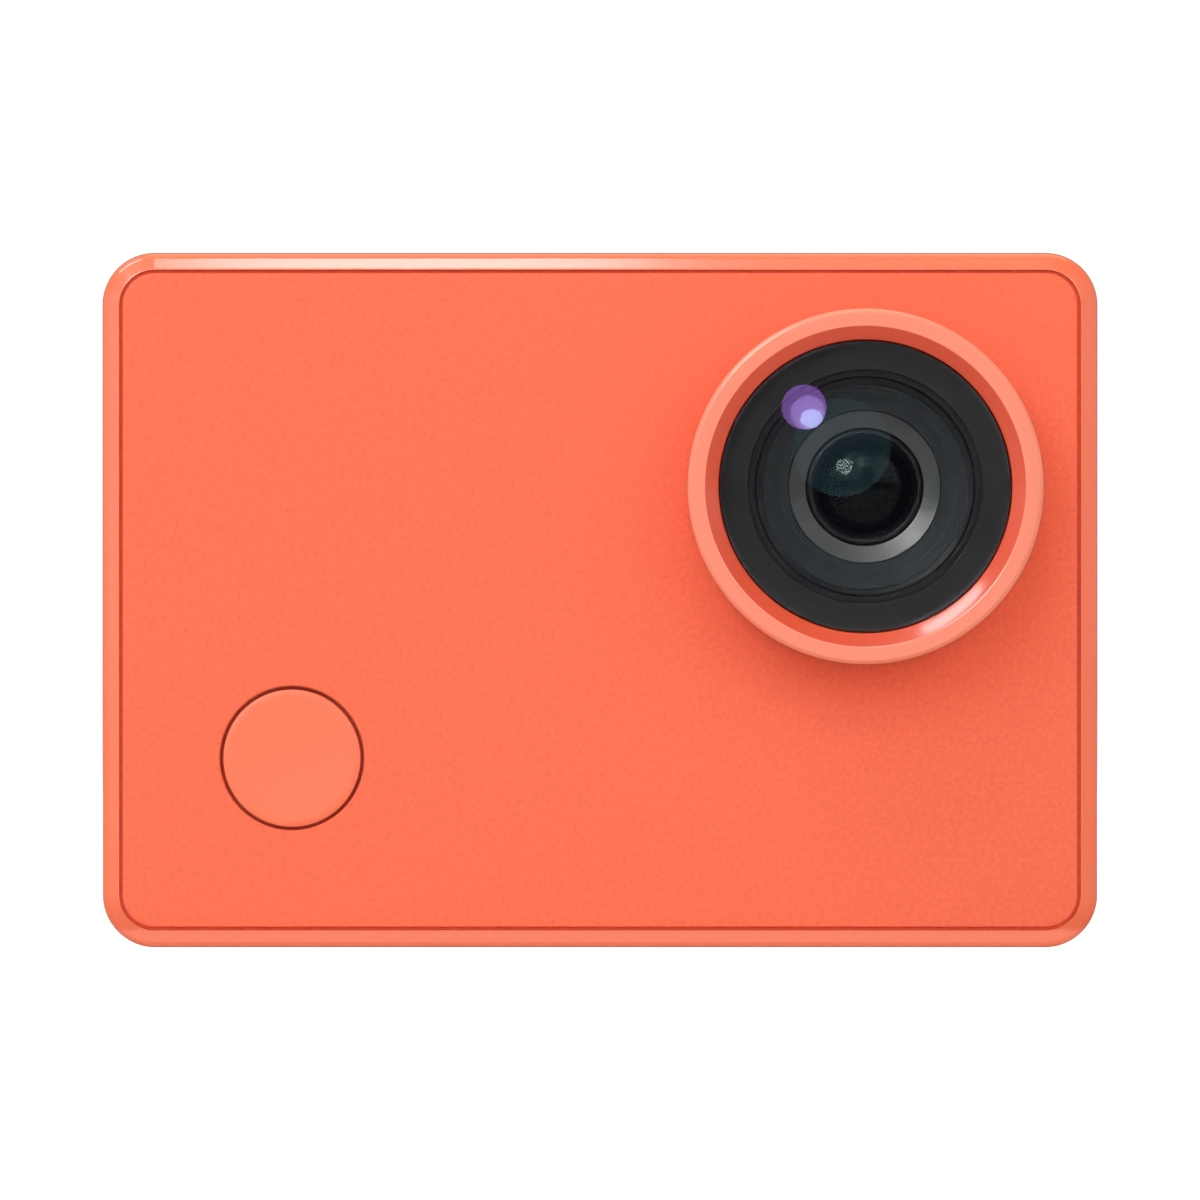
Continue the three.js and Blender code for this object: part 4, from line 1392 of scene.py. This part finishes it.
    def build_glass(self) -> None:
        """The glass elements and the rings that hold them."""
        tip = self.tip
        ring = [
            (3.22, tip + 6.2), (3.42, tip + 6.25), (3.42, tip + 7.0), (2.85, tip + 7.0), (2.85, tip + 6.72),
            (3.02, tip + 6.5), (3.1, tip + 6.28)
        ]
        fit(
            self.spin("element_ring", ring, 0.04), Finishes.stop_black, Body.CASE, ["lens_retaining_ring"],
            26
        )
        for node, crown in (("front_element", 0.75), ("middle_element", 0.85), ("rear_element", 0.8)):
            spot = Extent.of(node)
            radius = spot.size.x / 2
            dome = [(radius * i / 14, spot.low.y + crown * (i / 14) ** 2) for i in range(15)]
            hollow = [(radius * i / 10 * 0.8, spot.high.y - 0.5 * (1 - (i / 10) ** 2)) for i in range(11)]
            profile = [*dome, (radius, spot.high.y), *reversed(hollow)]
            fit(self.spin(node + "_glass", profile, segments=96), Finishes.lens_glass, Body.CASE, [node], angle=40)
        stop = Extent.of("aperture_stop")
        ring = [(0.75, stop.low.y + 0.1), (3.2, stop.low.y), (3.2, stop.high.y), (0.75, stop.low.y + 0.16)]
        fit(
            self.spin("aperture_disc", ring, segments=96), Finishes.stop_black, Body.CASE, ["aperture_stop"],
        )


# ---------------------------------------------------------------- buttons and keys


@dataclass
class RoundButton:
    """A round push button with a slightly hollow face."""

    node: str
    body: Body
    axis: Axis
    outwards: float
    flange: float = 0.7
    dish: float = 0.1
    post: float = 0.65

    def build(self) -> None:
        """Builds and dresses the button."""
        spot = Extent.of(self.node)
        index = 1 if self.axis is Axis.Y else 2
        face = spot.high[index] if self.outwards > 0 else spot.low[index]
        foot = spot.low[index] if self.outwards > 0 else spot.high[index]
        radius = spot.size.x / 2 - self.flange
        way = -self.outwards
        profile = [(radius * i / 8 * 0.9, face + way * self.dish * (1 - (i / 8) ** 2)) for i in range(9)]
        profile += [(radius - 0.11, face), (radius - 0.03, face + way * 0.035), (radius, face + way * 0.11)]
        flange_at = face + way * (abs(foot - face) - self.post)
        profile += [
            (radius, flange_at), (radius + self.flange, flange_at), (radius + self.flange, flange_at + way * 0.4),
            (1.0, flange_at + way * 0.4), (1.0, foot), (0.0, foot)
        ]
        u, v = (spot.middle.x, spot.middle.z) if self.axis is Axis.Y else (spot.middle.x, spot.middle.y)
        piece = turn(self.node + "_cap", profile, u, v, self.axis)
        fit(piece, Finishes.button_cap, self.body, [self.node], angle=26)


@dataclass
class SideKey:
    """A pill-shaped key with an engraved chevron that points up or down."""

    node: str
    body: Body
    points: float

    def build(self) -> None:
        """Builds and dresses the key."""
        spot = Extent.of(self.node)
        width, length = spot.size.y - 1.2, spot.size.z - 1.2
        face = spot.low.x
        stations = [(face + 0.06, -0.14), (face + 0.09, -0.06), (face + 0.2, 0.0), (face + 1.6, 0.0)]
        outline = Outline(width, length, width / 2, 14)
        piece = outline.loft(self.node + "_cap", stations, spot.middle.y, spot.middle.z, Axis.X)
        flange = outline.loft(
            "flange", [(face + 1.55, 0.6), (face + 2.05, 0.6)], spot.middle.y, spot.middle.z, Axis.X
        )
        post = disc(0.9, 6).loft("post", [(face + 2, 0), (spot.high.x, 0)], spot.middle.y, spot.middle.z, Axis.X)
        shape(piece, [flange, post], Cut.TOGETHER)
        shape(piece, self.chevron(spot), Cut.AWAY)
        fit(piece, Finishes.button_cap, self.body, [self.node])

    def chevron(self, spot: Extent) -> list[Piece]:
        """The two strokes of the mark on the key's face.

        Args:
            spot: the key's box.

        Returns:
            The cutters of the strokes.
        """
        strokes = []
        for side in (-1, 1):
            stroke = slab("stroke", (-0.3, -0.13, -0.72), (0.2, 0.13, 0.72), 0.03)
            turned = Matrix.Rotation(math.radians(side * 45 * self.points), 4, "X")
            stroke.data.transform(turned)
            offset = Vector((spot.low.x + 0.06, spot.middle.y + side * 0.4, spot.middle.z))
            strokes.append(move(stroke, offset))
        return strokes


# ---------------------------------------------------------------- sockets and card


@dataclass
class Sockets:
    """The two sockets and the memory card."""

    card_pitch: float = 1.1

    def build(self) -> None:
        """Builds and dresses the sockets and the card."""
        self.build_socket("usb_port", 5, 0.65)
        self.build_socket("hdmi_port", 9, 0.45)
        self.build_card()

    def build_socket(self, node: str, contacts: int, pitch: float) -> None:
        """A folded steel shell, its contact tongue and a row of gold contacts on it.

        Args:
            node: the socket's CAD node.
            contacts: how many contacts it has.
            pitch: the distance from one contact to the next.
        """
        spot = Extent.of(node)
        outline = Outline(spot.size.y, spot.size.z, 0.5, 6)
        y, z = spot.middle.y, spot.middle.z
        shell = outline.loft(
            node + "_shell",
            [(spot.low.x, -0.05), (spot.low.x + 0.1, 0), (spot.high.x - 0.1, 0), (spot.high.x, -0.08)], y, z, Axis.X
        )
        hollow = outline.loft(
            "hollow",
            [
                (spot.low.x + 0.9, -0.3), (spot.high.x - 0.15, -0.3), (spot.high.x + 0.1, -0.16),
                (spot.high.x + 1, -0.1)
            ],
            y, z, Axis.X
        )
        shape(shell, [hollow], Cut.AWAY)
        fit(shell, Finishes.shield_steel, Body.CASE, [node])
        tongue_y = spot.low.y + 1.27
        half = contacts * pitch / 2 + 0.25
        tongue = slab(
            node + "_tongue", (spot.low.x + 0.8, tongue_y - 0.27, z - half),
            (spot.high.x - 0.8, tongue_y + 0.27, z + half), 0.06
        )
        fit(tongue, Finishes.inner_black, Body.CASE)
        contact = slab("contact", (-1.4, -0.03, -pitch * 0.28), (1.4, 0.03, pitch * 0.28), 0.01)
        start = (spot.high.x - 2.45, tongue_y + 0.29, z - pitch * (contacts - 1) / 2)
        row = row_of(contact, node + "_contacts", Finishes.contact_gold, contacts, start, (0, 0, pitch))
        fit(row, Finishes.contact_gold, Body.CASE)

    def build_card(self) -> None:
        """The memory card: a notched body, a raised lip at its outer end and gold contacts at its inner end."""
        spot = Extent.of("memory_card")
        x0, x1, y0, y1, z0 = spot.low.x, spot.high.x, spot.low.y, spot.high.y, spot.low.z
        edge = [
            (0.4, 0), (14.7, 0), (15, 0.3), (15, 10.7), (14.7, 11), (7.6, 11), (7, 9.9), (6.2, 9.9), (5.6, 10.4),
            (5.3, 9.7), (0.6, 9.7), (0, 9.1), (0, 0.4),
        ]
        levels = ((y0, -0.06), (y0 + 0.06, 0), (y1 - 0.06, 0), (y1, -0.06))
        points = []
        middle = Vector((7.5, 5.5))
        for level, grow in levels:
            for corner in edge:
                spread = (Vector(corner) - middle).normalized() * grow + Vector(corner)
                points.append(Vector((x0 + spread.x, level, z0 + spread.y)))
        count = len(edge)
        faces: list[Sequence[int]] = [list(range(count)), list(range(3 * count, 4 * count))[::-1]]
        for level in range(3):
            base = level * count
            for i in range(count):
                j = (i + 1) % count
                faces.append((base + i, base + j, base + count + j, base + count + i))
        card = mesh_piece("memory_card_body", points, faces)
        grip = slab("grip", (x1 - 1.0, y0 - 0.3, z0 + 1.5), (x1 - 0.6, y0 + 0.12, z0 + 9.5), 0.05)
        shape(card, [grip], Cut.AWAY)
        fit(card, Finishes.card_black, Body.CARD, ["memory_card"])
        pad = slab("pad", (0, -0.02, -0.4), (2.6, 0.02, 0.4), 0.01)
        start = (x0 + 0.5, y1 - 0.005, z0 + self.card_pitch)
        pads = row_of(pad, "memory_card_contacts", Finishes.contact_gold, 8, start, (0, 0, self.card_pitch))
        fit(pads, Finishes.contact_gold, Body.CARD)


# ---------------------------------------------------------------- screen


@dataclass
class Screen:
    """The rear screen: its cover glass with a softened edge and the printed border behind it."""

    view_width: float = 41.0
    view_height: float = 30.8
    print_gap: float = 0.055

    def build(self) -> None:
        """Builds and dresses the screen's pieces."""
        glass = Extent.of("display_glass")
        outline = Outline(glass.size.x, glass.size.z, 1.6, 14)
        back = glass.high.y
        stations = [
            (glass.low.y, -0.05), (glass.low.y + 0.05, 0), (back - 0.3, 0), (back - 0.12, -0.06),
            (back - 0.03, -0.18), (back, -0.35)
        ]
        pane = outline.loft("screen_pane", stations, glass.middle.x, glass.middle.z)
        fit(pane, Finishes.screen_glass, Body.CASE, ["display_glass"])
        print_at = glass.low.y - self.print_gap
        mask = outline.loft(
            "screen_border_print", [(print_at, -0.1), (print_at + 0.04, -0.1)], glass.middle.x, glass.middle.z
        )
        way = Outline(self.view_width, self.view_height, 0.3, 4).loft(
            "way", [(print_at - 1, 0), (print_at + 1, 0)], glass.middle.x, glass.middle.z
        )
        shape(mask, [way], Cut.AWAY)
        fit(mask, Finishes.screen_border, Body.CASE)


# ---------------------------------------------------------------- underside


@dataclass
class Underside:
    """The battery door with its latch, and the threaded insert."""

    pitch: float = 1.27
    insert_bore: float = 3.175
    pin_bore: float = 0.47
    grooves: int = 5
    door_groove_step: float = 0.9
    latch_groove_step: float = 1.0
    ridge: float = 0.42
    ridge_steps: int = 64

    def build(self) -> None:
        """Builds and dresses the underside's pieces."""
        self.build_door()
        self.build_latch()
        self.build_insert()

    def build_door(self) -> None:
        """The door: a plate with a hinge barrel, a pocket for the latch and shallow grip ribs."""
        door, pin, latch = Extent.of("battery_door"), Extent.of("door_pin"), Extent.of("door_latch")
        barrel = pin.middle.z - door.low.z
        x0, x1 = pin.middle.x, door.high.x
        y, depth = door.middle.y, door.size.y
        bottom, top = door.low.z, door.low.z + 1.3
        outline = Outline(x1 - x0, depth, 0.35, 6)
        plate = outline.loft(
            "battery_door_body", [(bottom, -0.14), (bottom + 0.04, -0.05), (bottom + 0.14, 0), (top, 0)],
            (x0 + x1) / 2, y, Axis.Z
        )
        tube = turn(
            "tube",
            [(self.pin_bore, door.low.y), (barrel, door.low.y), (barrel, door.high.y), (self.pin_bore, door.high.y)],
            pin.middle.x, pin.middle.z, segments=48
        )
        shape(plate, [tube], Cut.TOGETHER)
        pocket = slab(
            "pocket", (latch.low.x - 1.75, latch.middle.y - 2.75, -1),
            (latch.high.x - 2.15, latch.middle.y + 2.75, bottom + 0.8)
        )
        slot = slab(
            "slot", (latch.low.x - 0.4, latch.middle.y - 1.45, -1), (latch.high.x - 3.8, latch.middle.y + 1.45, 3)
        )
        bore = disc(self.pin_bore, 8).loft(
            "bore", [(door.low.y - 1, 0), (door.high.y + 1, 0)], pin.middle.x, pin.middle.z
        )
        rib = slab("rib", (-0.18, -4.2, -0.1), (0.18, 4.2, 0.12), 0.04)
        start = (latch.low.x - 6.6, y, bottom)
        grooves = row_of(rib, "grooves", Finishes.case_shell, self.grooves, start, (self.door_groove_step, 0, 0))
        shape(plate, [pocket, slot, bore, grooves], Cut.AWAY)
        fit(plate, Finishes.case_shell, Body.DOOR, ["battery_door"])

    def build_latch(self) -> None:
        """The sliding latch: a thumb pad with ribs across it, a neck and a keeper with its tongue."""
        latch, door = Extent.of("door_latch"), Extent.of("battery_door")
        bottom = door.low.z + 0.1
        y = latch.middle.y
        x0 = latch.low.x
        pad = slab("door_latch_body", (x0, y - 2.6, bottom), (x0 + 6, y + 2.6, bottom + 0.55), 0.08)
        neck = slab("neck", (x0 + 1.4, y - 1.3, bottom + 0.4), (x0 + 4.2, y + 1.3, bottom + 1.5))
        keeper = slab("keeper", (x0 + 0.6, y - 2.2, bottom + 1.35), (latch.high.x, y + 2.2, bottom + 1.8), 0.06)
        shape(pad, [neck, keeper], Cut.TOGETHER)
        groove = slab("groove", (-0.25, -2.8, -0.2), (0.25, 2.8, 0.22), 0.06)
        start = (x0 + 1.0, y, bottom)
        grooves = row_of(groove, "grooves", Finishes.inner_black, self.grooves, start, (self.latch_groove_step, 0, 0))
        shape(pad, [grooves], Cut.AWAY)
        fit(pad, Finishes.inner_black, Body.LATCH, ["door_latch"])

    def build_insert(self) -> None:
        """The brass insert with a real helical thread in its bore."""
        spot = Extent.of("tripod_insert")
        flange = spot.size.x / 2
        outer, bore, top = flange - 0.9, self.insert_bore, spot.high.z
        profile = [
            (0, top - 0.8), (bore, top - 0.8), (bore, 0.45), (bore + 0.45, 0.02), (outer - 0.12, 0.02), (outer, 0.14),
            (outer, 1.6), (flange, 1.6), (flange, 2.4), (outer, 2.4), (outer, top), (0, top),
        ]
        piece = turn("insert_body", profile, TRIPOD.x, TRIPOD.y, Axis.Z, 96)
        fit(piece, Finishes.insert_brass, Body.CASE, ["tripod_insert"], angle=26)
        height = top - 0.8 - 0.9
        thread = THREAD.make(
            "insert_thread", Finishes.insert_brass,
            {
                "Turns": height / self.pitch, "Radius": (bore - 0.1) * MM, "Height": height * MM,
                "Ridge": self.ridge * MM, "Steps": self.ridge_steps
            }
        )
        fit(move(thread, Vector((TRIPOD.x, TRIPOD.y, 0.6))), Finishes.insert_brass, Body.CASE)


# ---------------------------------------------------------------- inside


@dataclass
class Inside:
    """What the case holds: screws with cross recesses, boards with their small parts, and the plain inner nodes."""

    screws: tuple[str, ...] = (
        "chassis_screw_1", "chassis_screw_2", "chassis_screw_3", "chassis_screw_4", "board_screw_1", "board_screw_2",
        "board_screw_3", "sensor_screw_1", "sensor_screw_2",
    )
    head_height: float = 0.55
    parts_area: tuple[float, float] = (18, 9)
    parts_grid: tuple[int, int] = (12, 6)
    seed: int = 7

    def build(self) -> None:
        """Builds the screws and the boards' parts, and dresses every CAD node that still shows."""
        self.build_screws()
        self.build_parts()
        self.dress_nodes()

    def build_screws(self) -> None:
        """Screws with round heads and cross recesses: one shape for each shank length, copied to its places."""
        lengths: dict[float, list[str]] = {}
        for node in self.screws:
            lengths.setdefault(round(Extent.of(node).size.y, 2), []).append(node)
        for number, (length, nodes) in enumerate(sorted(lengths.items()), 1):
            shank = length - self.head_height
            head = [
                (0, self.head_height), (0.5, 0.53), (0.95, 0.42), (1.2, 0.2), (1.25, 0.08), (1.2, 0.0), (0.5, 0.0)
            ]
            ridges = []
            turns = int(shank / 0.4)
            for i in range(turns):
                start = -0.15 - i * (shank - 0.4) / turns
                ridges += [(0.42, start), (0.5, start - 0.08), (0.42, start - 0.2)]
            pattern = turn("screw", [*head, *ridges, (0.3, -shank), (0, -shank)], 0, 0, segments=32)
            bars = [
                slab("bar", (-0.62, 0.2, -0.11), (0.62, 1, 0.11)), slab("bar", (-0.11, 0.2, -0.62), (0.11, 1, 0.62))
            ]
            shape(pattern, bars, Cut.AWAY)
            spots = []
            for node in nodes:
                spot = Extent.of(node)
                spots.append(Vector((spot.middle.x, spot.high.y - self.head_height, spot.middle.z)))
            made = AT_PLACES.make(f"cross_screws_{number}", Finishes.plain_steel, {"Shape": pattern}, spots)
            discard([pattern])
            fit(made, Finishes.plain_steel, Body.CASE, nodes)

    def build_parts(self) -> None:
        """Small resistors and capacitors on the main board's back."""
        board = Extent.of("main_board")
        parts = BOARD_PARTS.make(
            "board_parts", Finishes.chip_black,
            {
                "Width": self.parts_area[0] * MM, "Height": self.parts_area[1] * MM, "Across": self.parts_grid[0],
                "Up": self.parts_grid[1], "Part": Vector((0.9, 0.5, 0.35)) * MM, "Seed": self.seed
            }
        )
        fit(move(parts, Vector((12.5, board.high.y + 0.19, 30.5))), Finishes.chip_black, Body.CASE)

    def dress_nodes(self) -> None:
        """Gives each CAD node that still shows its slot's finish."""
        finishes = {entry["node"]: entry["material_slot"] for entry in frame["record"]["subparts"]}
        for name, node in frame["nodes"].items():
            if node.hide_render:
                continue
            for place in node.material_slots:
                place.material = getattr(Finishes, finishes[name]).material()
            LOG.info("%s: CAD shape kept, %s", name, finishes[name])


# ---------------------------------------------------------------- studio


@dataclass
class Lamp:
    """A soft area light that the camera doesn't see. Without gleams it shows in no gloss and through no glass."""

    name: str
    at: tuple[float, float, float]
    aim: tuple[float, float, float]
    width: float
    height: float
    radiance: float
    colour: Colour = (1.0, 1.0, 1.0)
    round: bool = False
    lights: bool = True
    gleams: bool = True

    def build(self) -> None:
        """Adds the light. Its power comes from its radiance and its area."""
        data = bpy.data.lights.new(self.name, "AREA")
        data.shape = "ELLIPSE" if self.round else "RECTANGLE"
        data.size, data.size_y = self.width, self.height
        area = self.width * self.height * (math.pi / 4 if self.round else 1)
        data.energy = self.radiance * area * math.pi
        data.color = self.colour
        lamp = add_object(self.name, data)
        lamp.location = self.at
        lamp.rotation_euler = (Vector(self.aim) - Vector(self.at)).to_track_quat("-Z", "Y").to_euler()
        lamp.visible_camera = False
        lamp.visible_diffuse = self.lights
        lamp.visible_glossy = lamp.visible_transmission = self.gleams
        LOG.info("light %s, radiance %.2f", self.name, self.radiance)


@dataclass
class Studio:
    """A white floor, soft lights round the camera and a long lens straight in front of it."""

    distance: float = 1.4
    view_width: float = 0.07136
    sensor: float = 36.0
    sky: float = 0.42
    ground: float = 1.25
    floor_radius: float = 3.0
    contact: float = 0.0015
    floor_grey: float = 0.55
    floor_glow: float = 0.85
    backdrop: float = 1.05
    card_edge: tuple[float, float] = (0.62, 0.84)
    card_dim: float = 0.06
    shade_way: tuple[float, float, float] = (0.0, 0.77, -0.64)
    shade_edge: tuple[float, float] = (0.35, 0.75)
    shade_dim: float = 0.08

    def build(self) -> None:
        """Builds the floor, the lights, the surroundings and the camera."""
        low, high = (Vector(corner) for corner in CAD_BOX)
        middle = (low + high) / 2
        self.build_floor()
        self.build_world()
        self.build_camera(middle)
        for lamp in self.lamps(middle):
            lamp.build()

    def build_floor(self) -> None:
        """A wide pale floor that glows for the eye only, and that can be seen through from below."""
        mesh = bpy.data.meshes.new("studio_floor")
        work = bmesh.new()
        bmesh.ops.create_circle(work, cap_ends=True, segments=64, radius=self.floor_radius)
        bmesh.ops.translate(work, vec=(0, 0, -0.00005), verts=work.verts)
        work.to_mesh(mesh)
        work.free()
        floor = add_object("studio_floor", mesh)
        material = bpy.data.materials.new("studio_white")
        material.use_nodes = True
        tree = material.node_tree
        surface = tree.nodes["Principled BSDF"]
        white = {"Base Color": (*[self.floor_grey] * 3, 1), "Roughness": 0.9, "Specular IOR Level": 0.1}
        set_inputs(surface, {**white, "Emission Color": (1, 1, 1, 1)})
        seen = wire(tree, "ShaderNodeLightPath", {}).outputs["Is Camera Ray"]
        glow = calc(tree, "MULTIPLY", seen, self.floor_glow)
        tree.links.new(glow, surface.inputs["Emission Strength"])
        clear = tree.nodes.new("ShaderNodeBsdfTransparent").outputs[0]
        below = wire(tree, "ShaderNodeNewGeometry", {}).outputs["Backfacing"]
        length = wire(tree, "ShaderNodeLightPath", {}).outputs["Ray Length"]
        near = calc(tree, "LESS_THAN", length, self.contact)
        open_to = calc(tree, "MAXIMUM", below, near)
        shown = wire(tree, "ShaderNodeMixShader", {0: open_to, 1: surface.outputs[0], 2: clear}).outputs[0]
        tree.links.new(shown, tree.nodes["Material Output"].inputs["Surface"])
        floor.data.materials.append(material)

    def build_world(self) -> None:
        """Surroundings with three dark cards: in front of the camera body, behind it, and low behind it."""
        world = bpy.data.worlds.new("studio")
        bpy.context.scene.world = world
        world.use_nodes = True
        tree = world.node_tree
        background = tree.nodes["Background"]
        way = wire(tree, "ShaderNodeTexCoord", {}).outputs["Generated"]
        up = wire(tree, "ShaderNodeSeparateXYZ", {0: way}).outputs["Z"]
        level = remap(tree, up, -0.25, 0.5, self.ground, self.sky)
        along = wire(tree, "ShaderNodeVectorMath", {0: way, 1: (0.0, 1.0, 0.0)}, operation="DOT_PRODUCT")
        facing = calc(tree, "ABSOLUTE", along.outputs["Value"])
        card = remap(tree, facing, *self.card_edge, 1.0, self.card_dim)
        low = wire(tree, "ShaderNodeVectorMath", {0: way, 1: self.shade_way}, operation="DOT_PRODUCT")
        shade = remap(tree, low.outputs["Value"], *self.shade_edge, 1.0, self.shade_dim)
        dimmed = calc(tree, "MULTIPLY", level, card)
        dimmed = calc(tree, "MULTIPLY", dimmed, shade)
        seen = wire(tree, "ShaderNodeLightPath", {}).outputs["Is Camera Ray"]
        strength = wire(tree, "ShaderNodeMix", {0: seen, 2: dimmed, 3: self.backdrop}, data_type="FLOAT").outputs[0]
        tree.links.new(strength, background.inputs["Strength"])
        background.inputs["Color"].default_value = (1, 1, 1, 1)

    def build_camera(self, middle: Vector) -> None:
        """A long lens level with the middle of the camera body.

        Args:
            middle: the middle of the camera body, in metres.
        """
        data = bpy.data.cameras.new("studio_camera")
        data.sensor_width = self.sensor
        data.lens = self.sensor * self.distance / self.view_width
        data.clip_start, data.clip_end = 0.05, 10
        view = add_object("studio_camera", data)
        view.location = (0, Extent.of("housing_frame").low.y * MM - self.distance, middle.z)
        view.rotation_euler = (math.pi / 2, 0, 0)
        bpy.context.scene.camera = view

    def lamps(self, middle: Vector) -> list[Lamp]:
        """The lights: banks above and in front, and the small coloured lamps that the window shows.

        Args:
            middle: the middle of the camera body, in metres.

        Returns:
            The lights.
        """
        aim = tuple(middle)
        mirror_y = Extent.of("lens_window").low.y * MM
        camera_y = Extent.of("housing_frame").low.y * MM - self.distance

        def beside(across: float, up: float) -> tuple[float, float, float]:
            """The place near the camera that the window shows at an offset from its centre, in millimetres."""
            x, z = LENS.x + across, LENS.z + up
            return 2 * x * MM, camera_y + 0.02, middle.z + 2 * (z * MM - middle.z)

        lens = (LENS.x * MM, mirror_y, LENS.z * MM)
        return [
            Lamp("key bank", (-0.48, -1.04, 0.6), aim, 1.0, 0.8, 1.3),
            Lamp("right bank", (0.62, -1.0, 0.5), aim, 0.8, 0.7, 1.3),
            Lamp("front fill", (0.05, -1.25, 0.2), aim, 1.2, 0.7, 2.1, gleams=False),
            Lamp("left card", (-0.55, -0.33, 0.06), aim, 0.25, 0.3, 0.5),
            Lamp("edge strip", (-0.0165, -0.33, 0.58), (-0.0165, 0, 0.04), 0.04, 0.1, 12.5),
            Lamp("cone bank", (-0.385, -0.145, 0.56), (-0.385, -0.145, 0), 0.4, 0.13, 10.0),
            Lamp("warm bank", (0.1, 0.03, 0.7), (0.1, 0.03, 0), 0.5, 0.16, 2.4, (1.0, 0.72, 0.45)),
            Lamp("gleam lamp", (-0.46, -0.98, 0.55), aim, 0.42, 0.42, 15.0, round=True, lights=False),
            Lamp("top card", (0.0157, -1.05, 0.68), lens, 0.32, 0.2, 3.4),
            Lamp("rear bank", (0.5, 1.1, 0.7), aim, 0.9, 0.7, 2.6, gleams=False),
            Lamp("rear left bank", (-0.6, 0.9, 0.4), aim, 0.6, 0.6, 1.8, gleams=False),
            Lamp("violet lamp", beside(-3.72, 4.62), lens, 0.0053, 0.0053, 6.0, (0.50, 0.22, 0.72), True),
            Lamp("lilac lamp", beside(-3.5, 4.3), lens, 0.0040, 0.0040, 4.2, (0.75, 0.6, 1.0), True),
            Lamp("pale blue lamp", beside(-3.3, 3.95), lens, 0.0026, 0.0022, 8.0, (0.6, 1.0, 1.0), True),
            Lamp("teal lamp", beside(-1.5, 2.25), lens, 0.0116, 0.0116, 0.34, (0.4, 1.0, 0.85), True),
        ]


def main() -> None:
    """Builds the camera's sub-assemblies and the studio."""
    logging.basicConfig(level=logging.INFO, format="%(message)s", force=True)
    assemblies: list[Any] = [
        CaseShell(), LensUnit(), RoundButton("power_button", Body.POWER, Axis.Y, -1.0),
        RoundButton("shutter_button", Body.SHUTTER, Axis.Z, 1.0, post=1.05), SideKey("up_key", Body.UP, 1.0),
        SideKey("down_key", Body.DOWN, -1.0), Sockets(), Screen(), Underside(), Inside(), Studio()
    ]
    for assembly in assemblies:
        assembly.build()
    bpy.context.scene.view_settings.view_transform = "Standard"


if __name__ == "__main__":
    main()
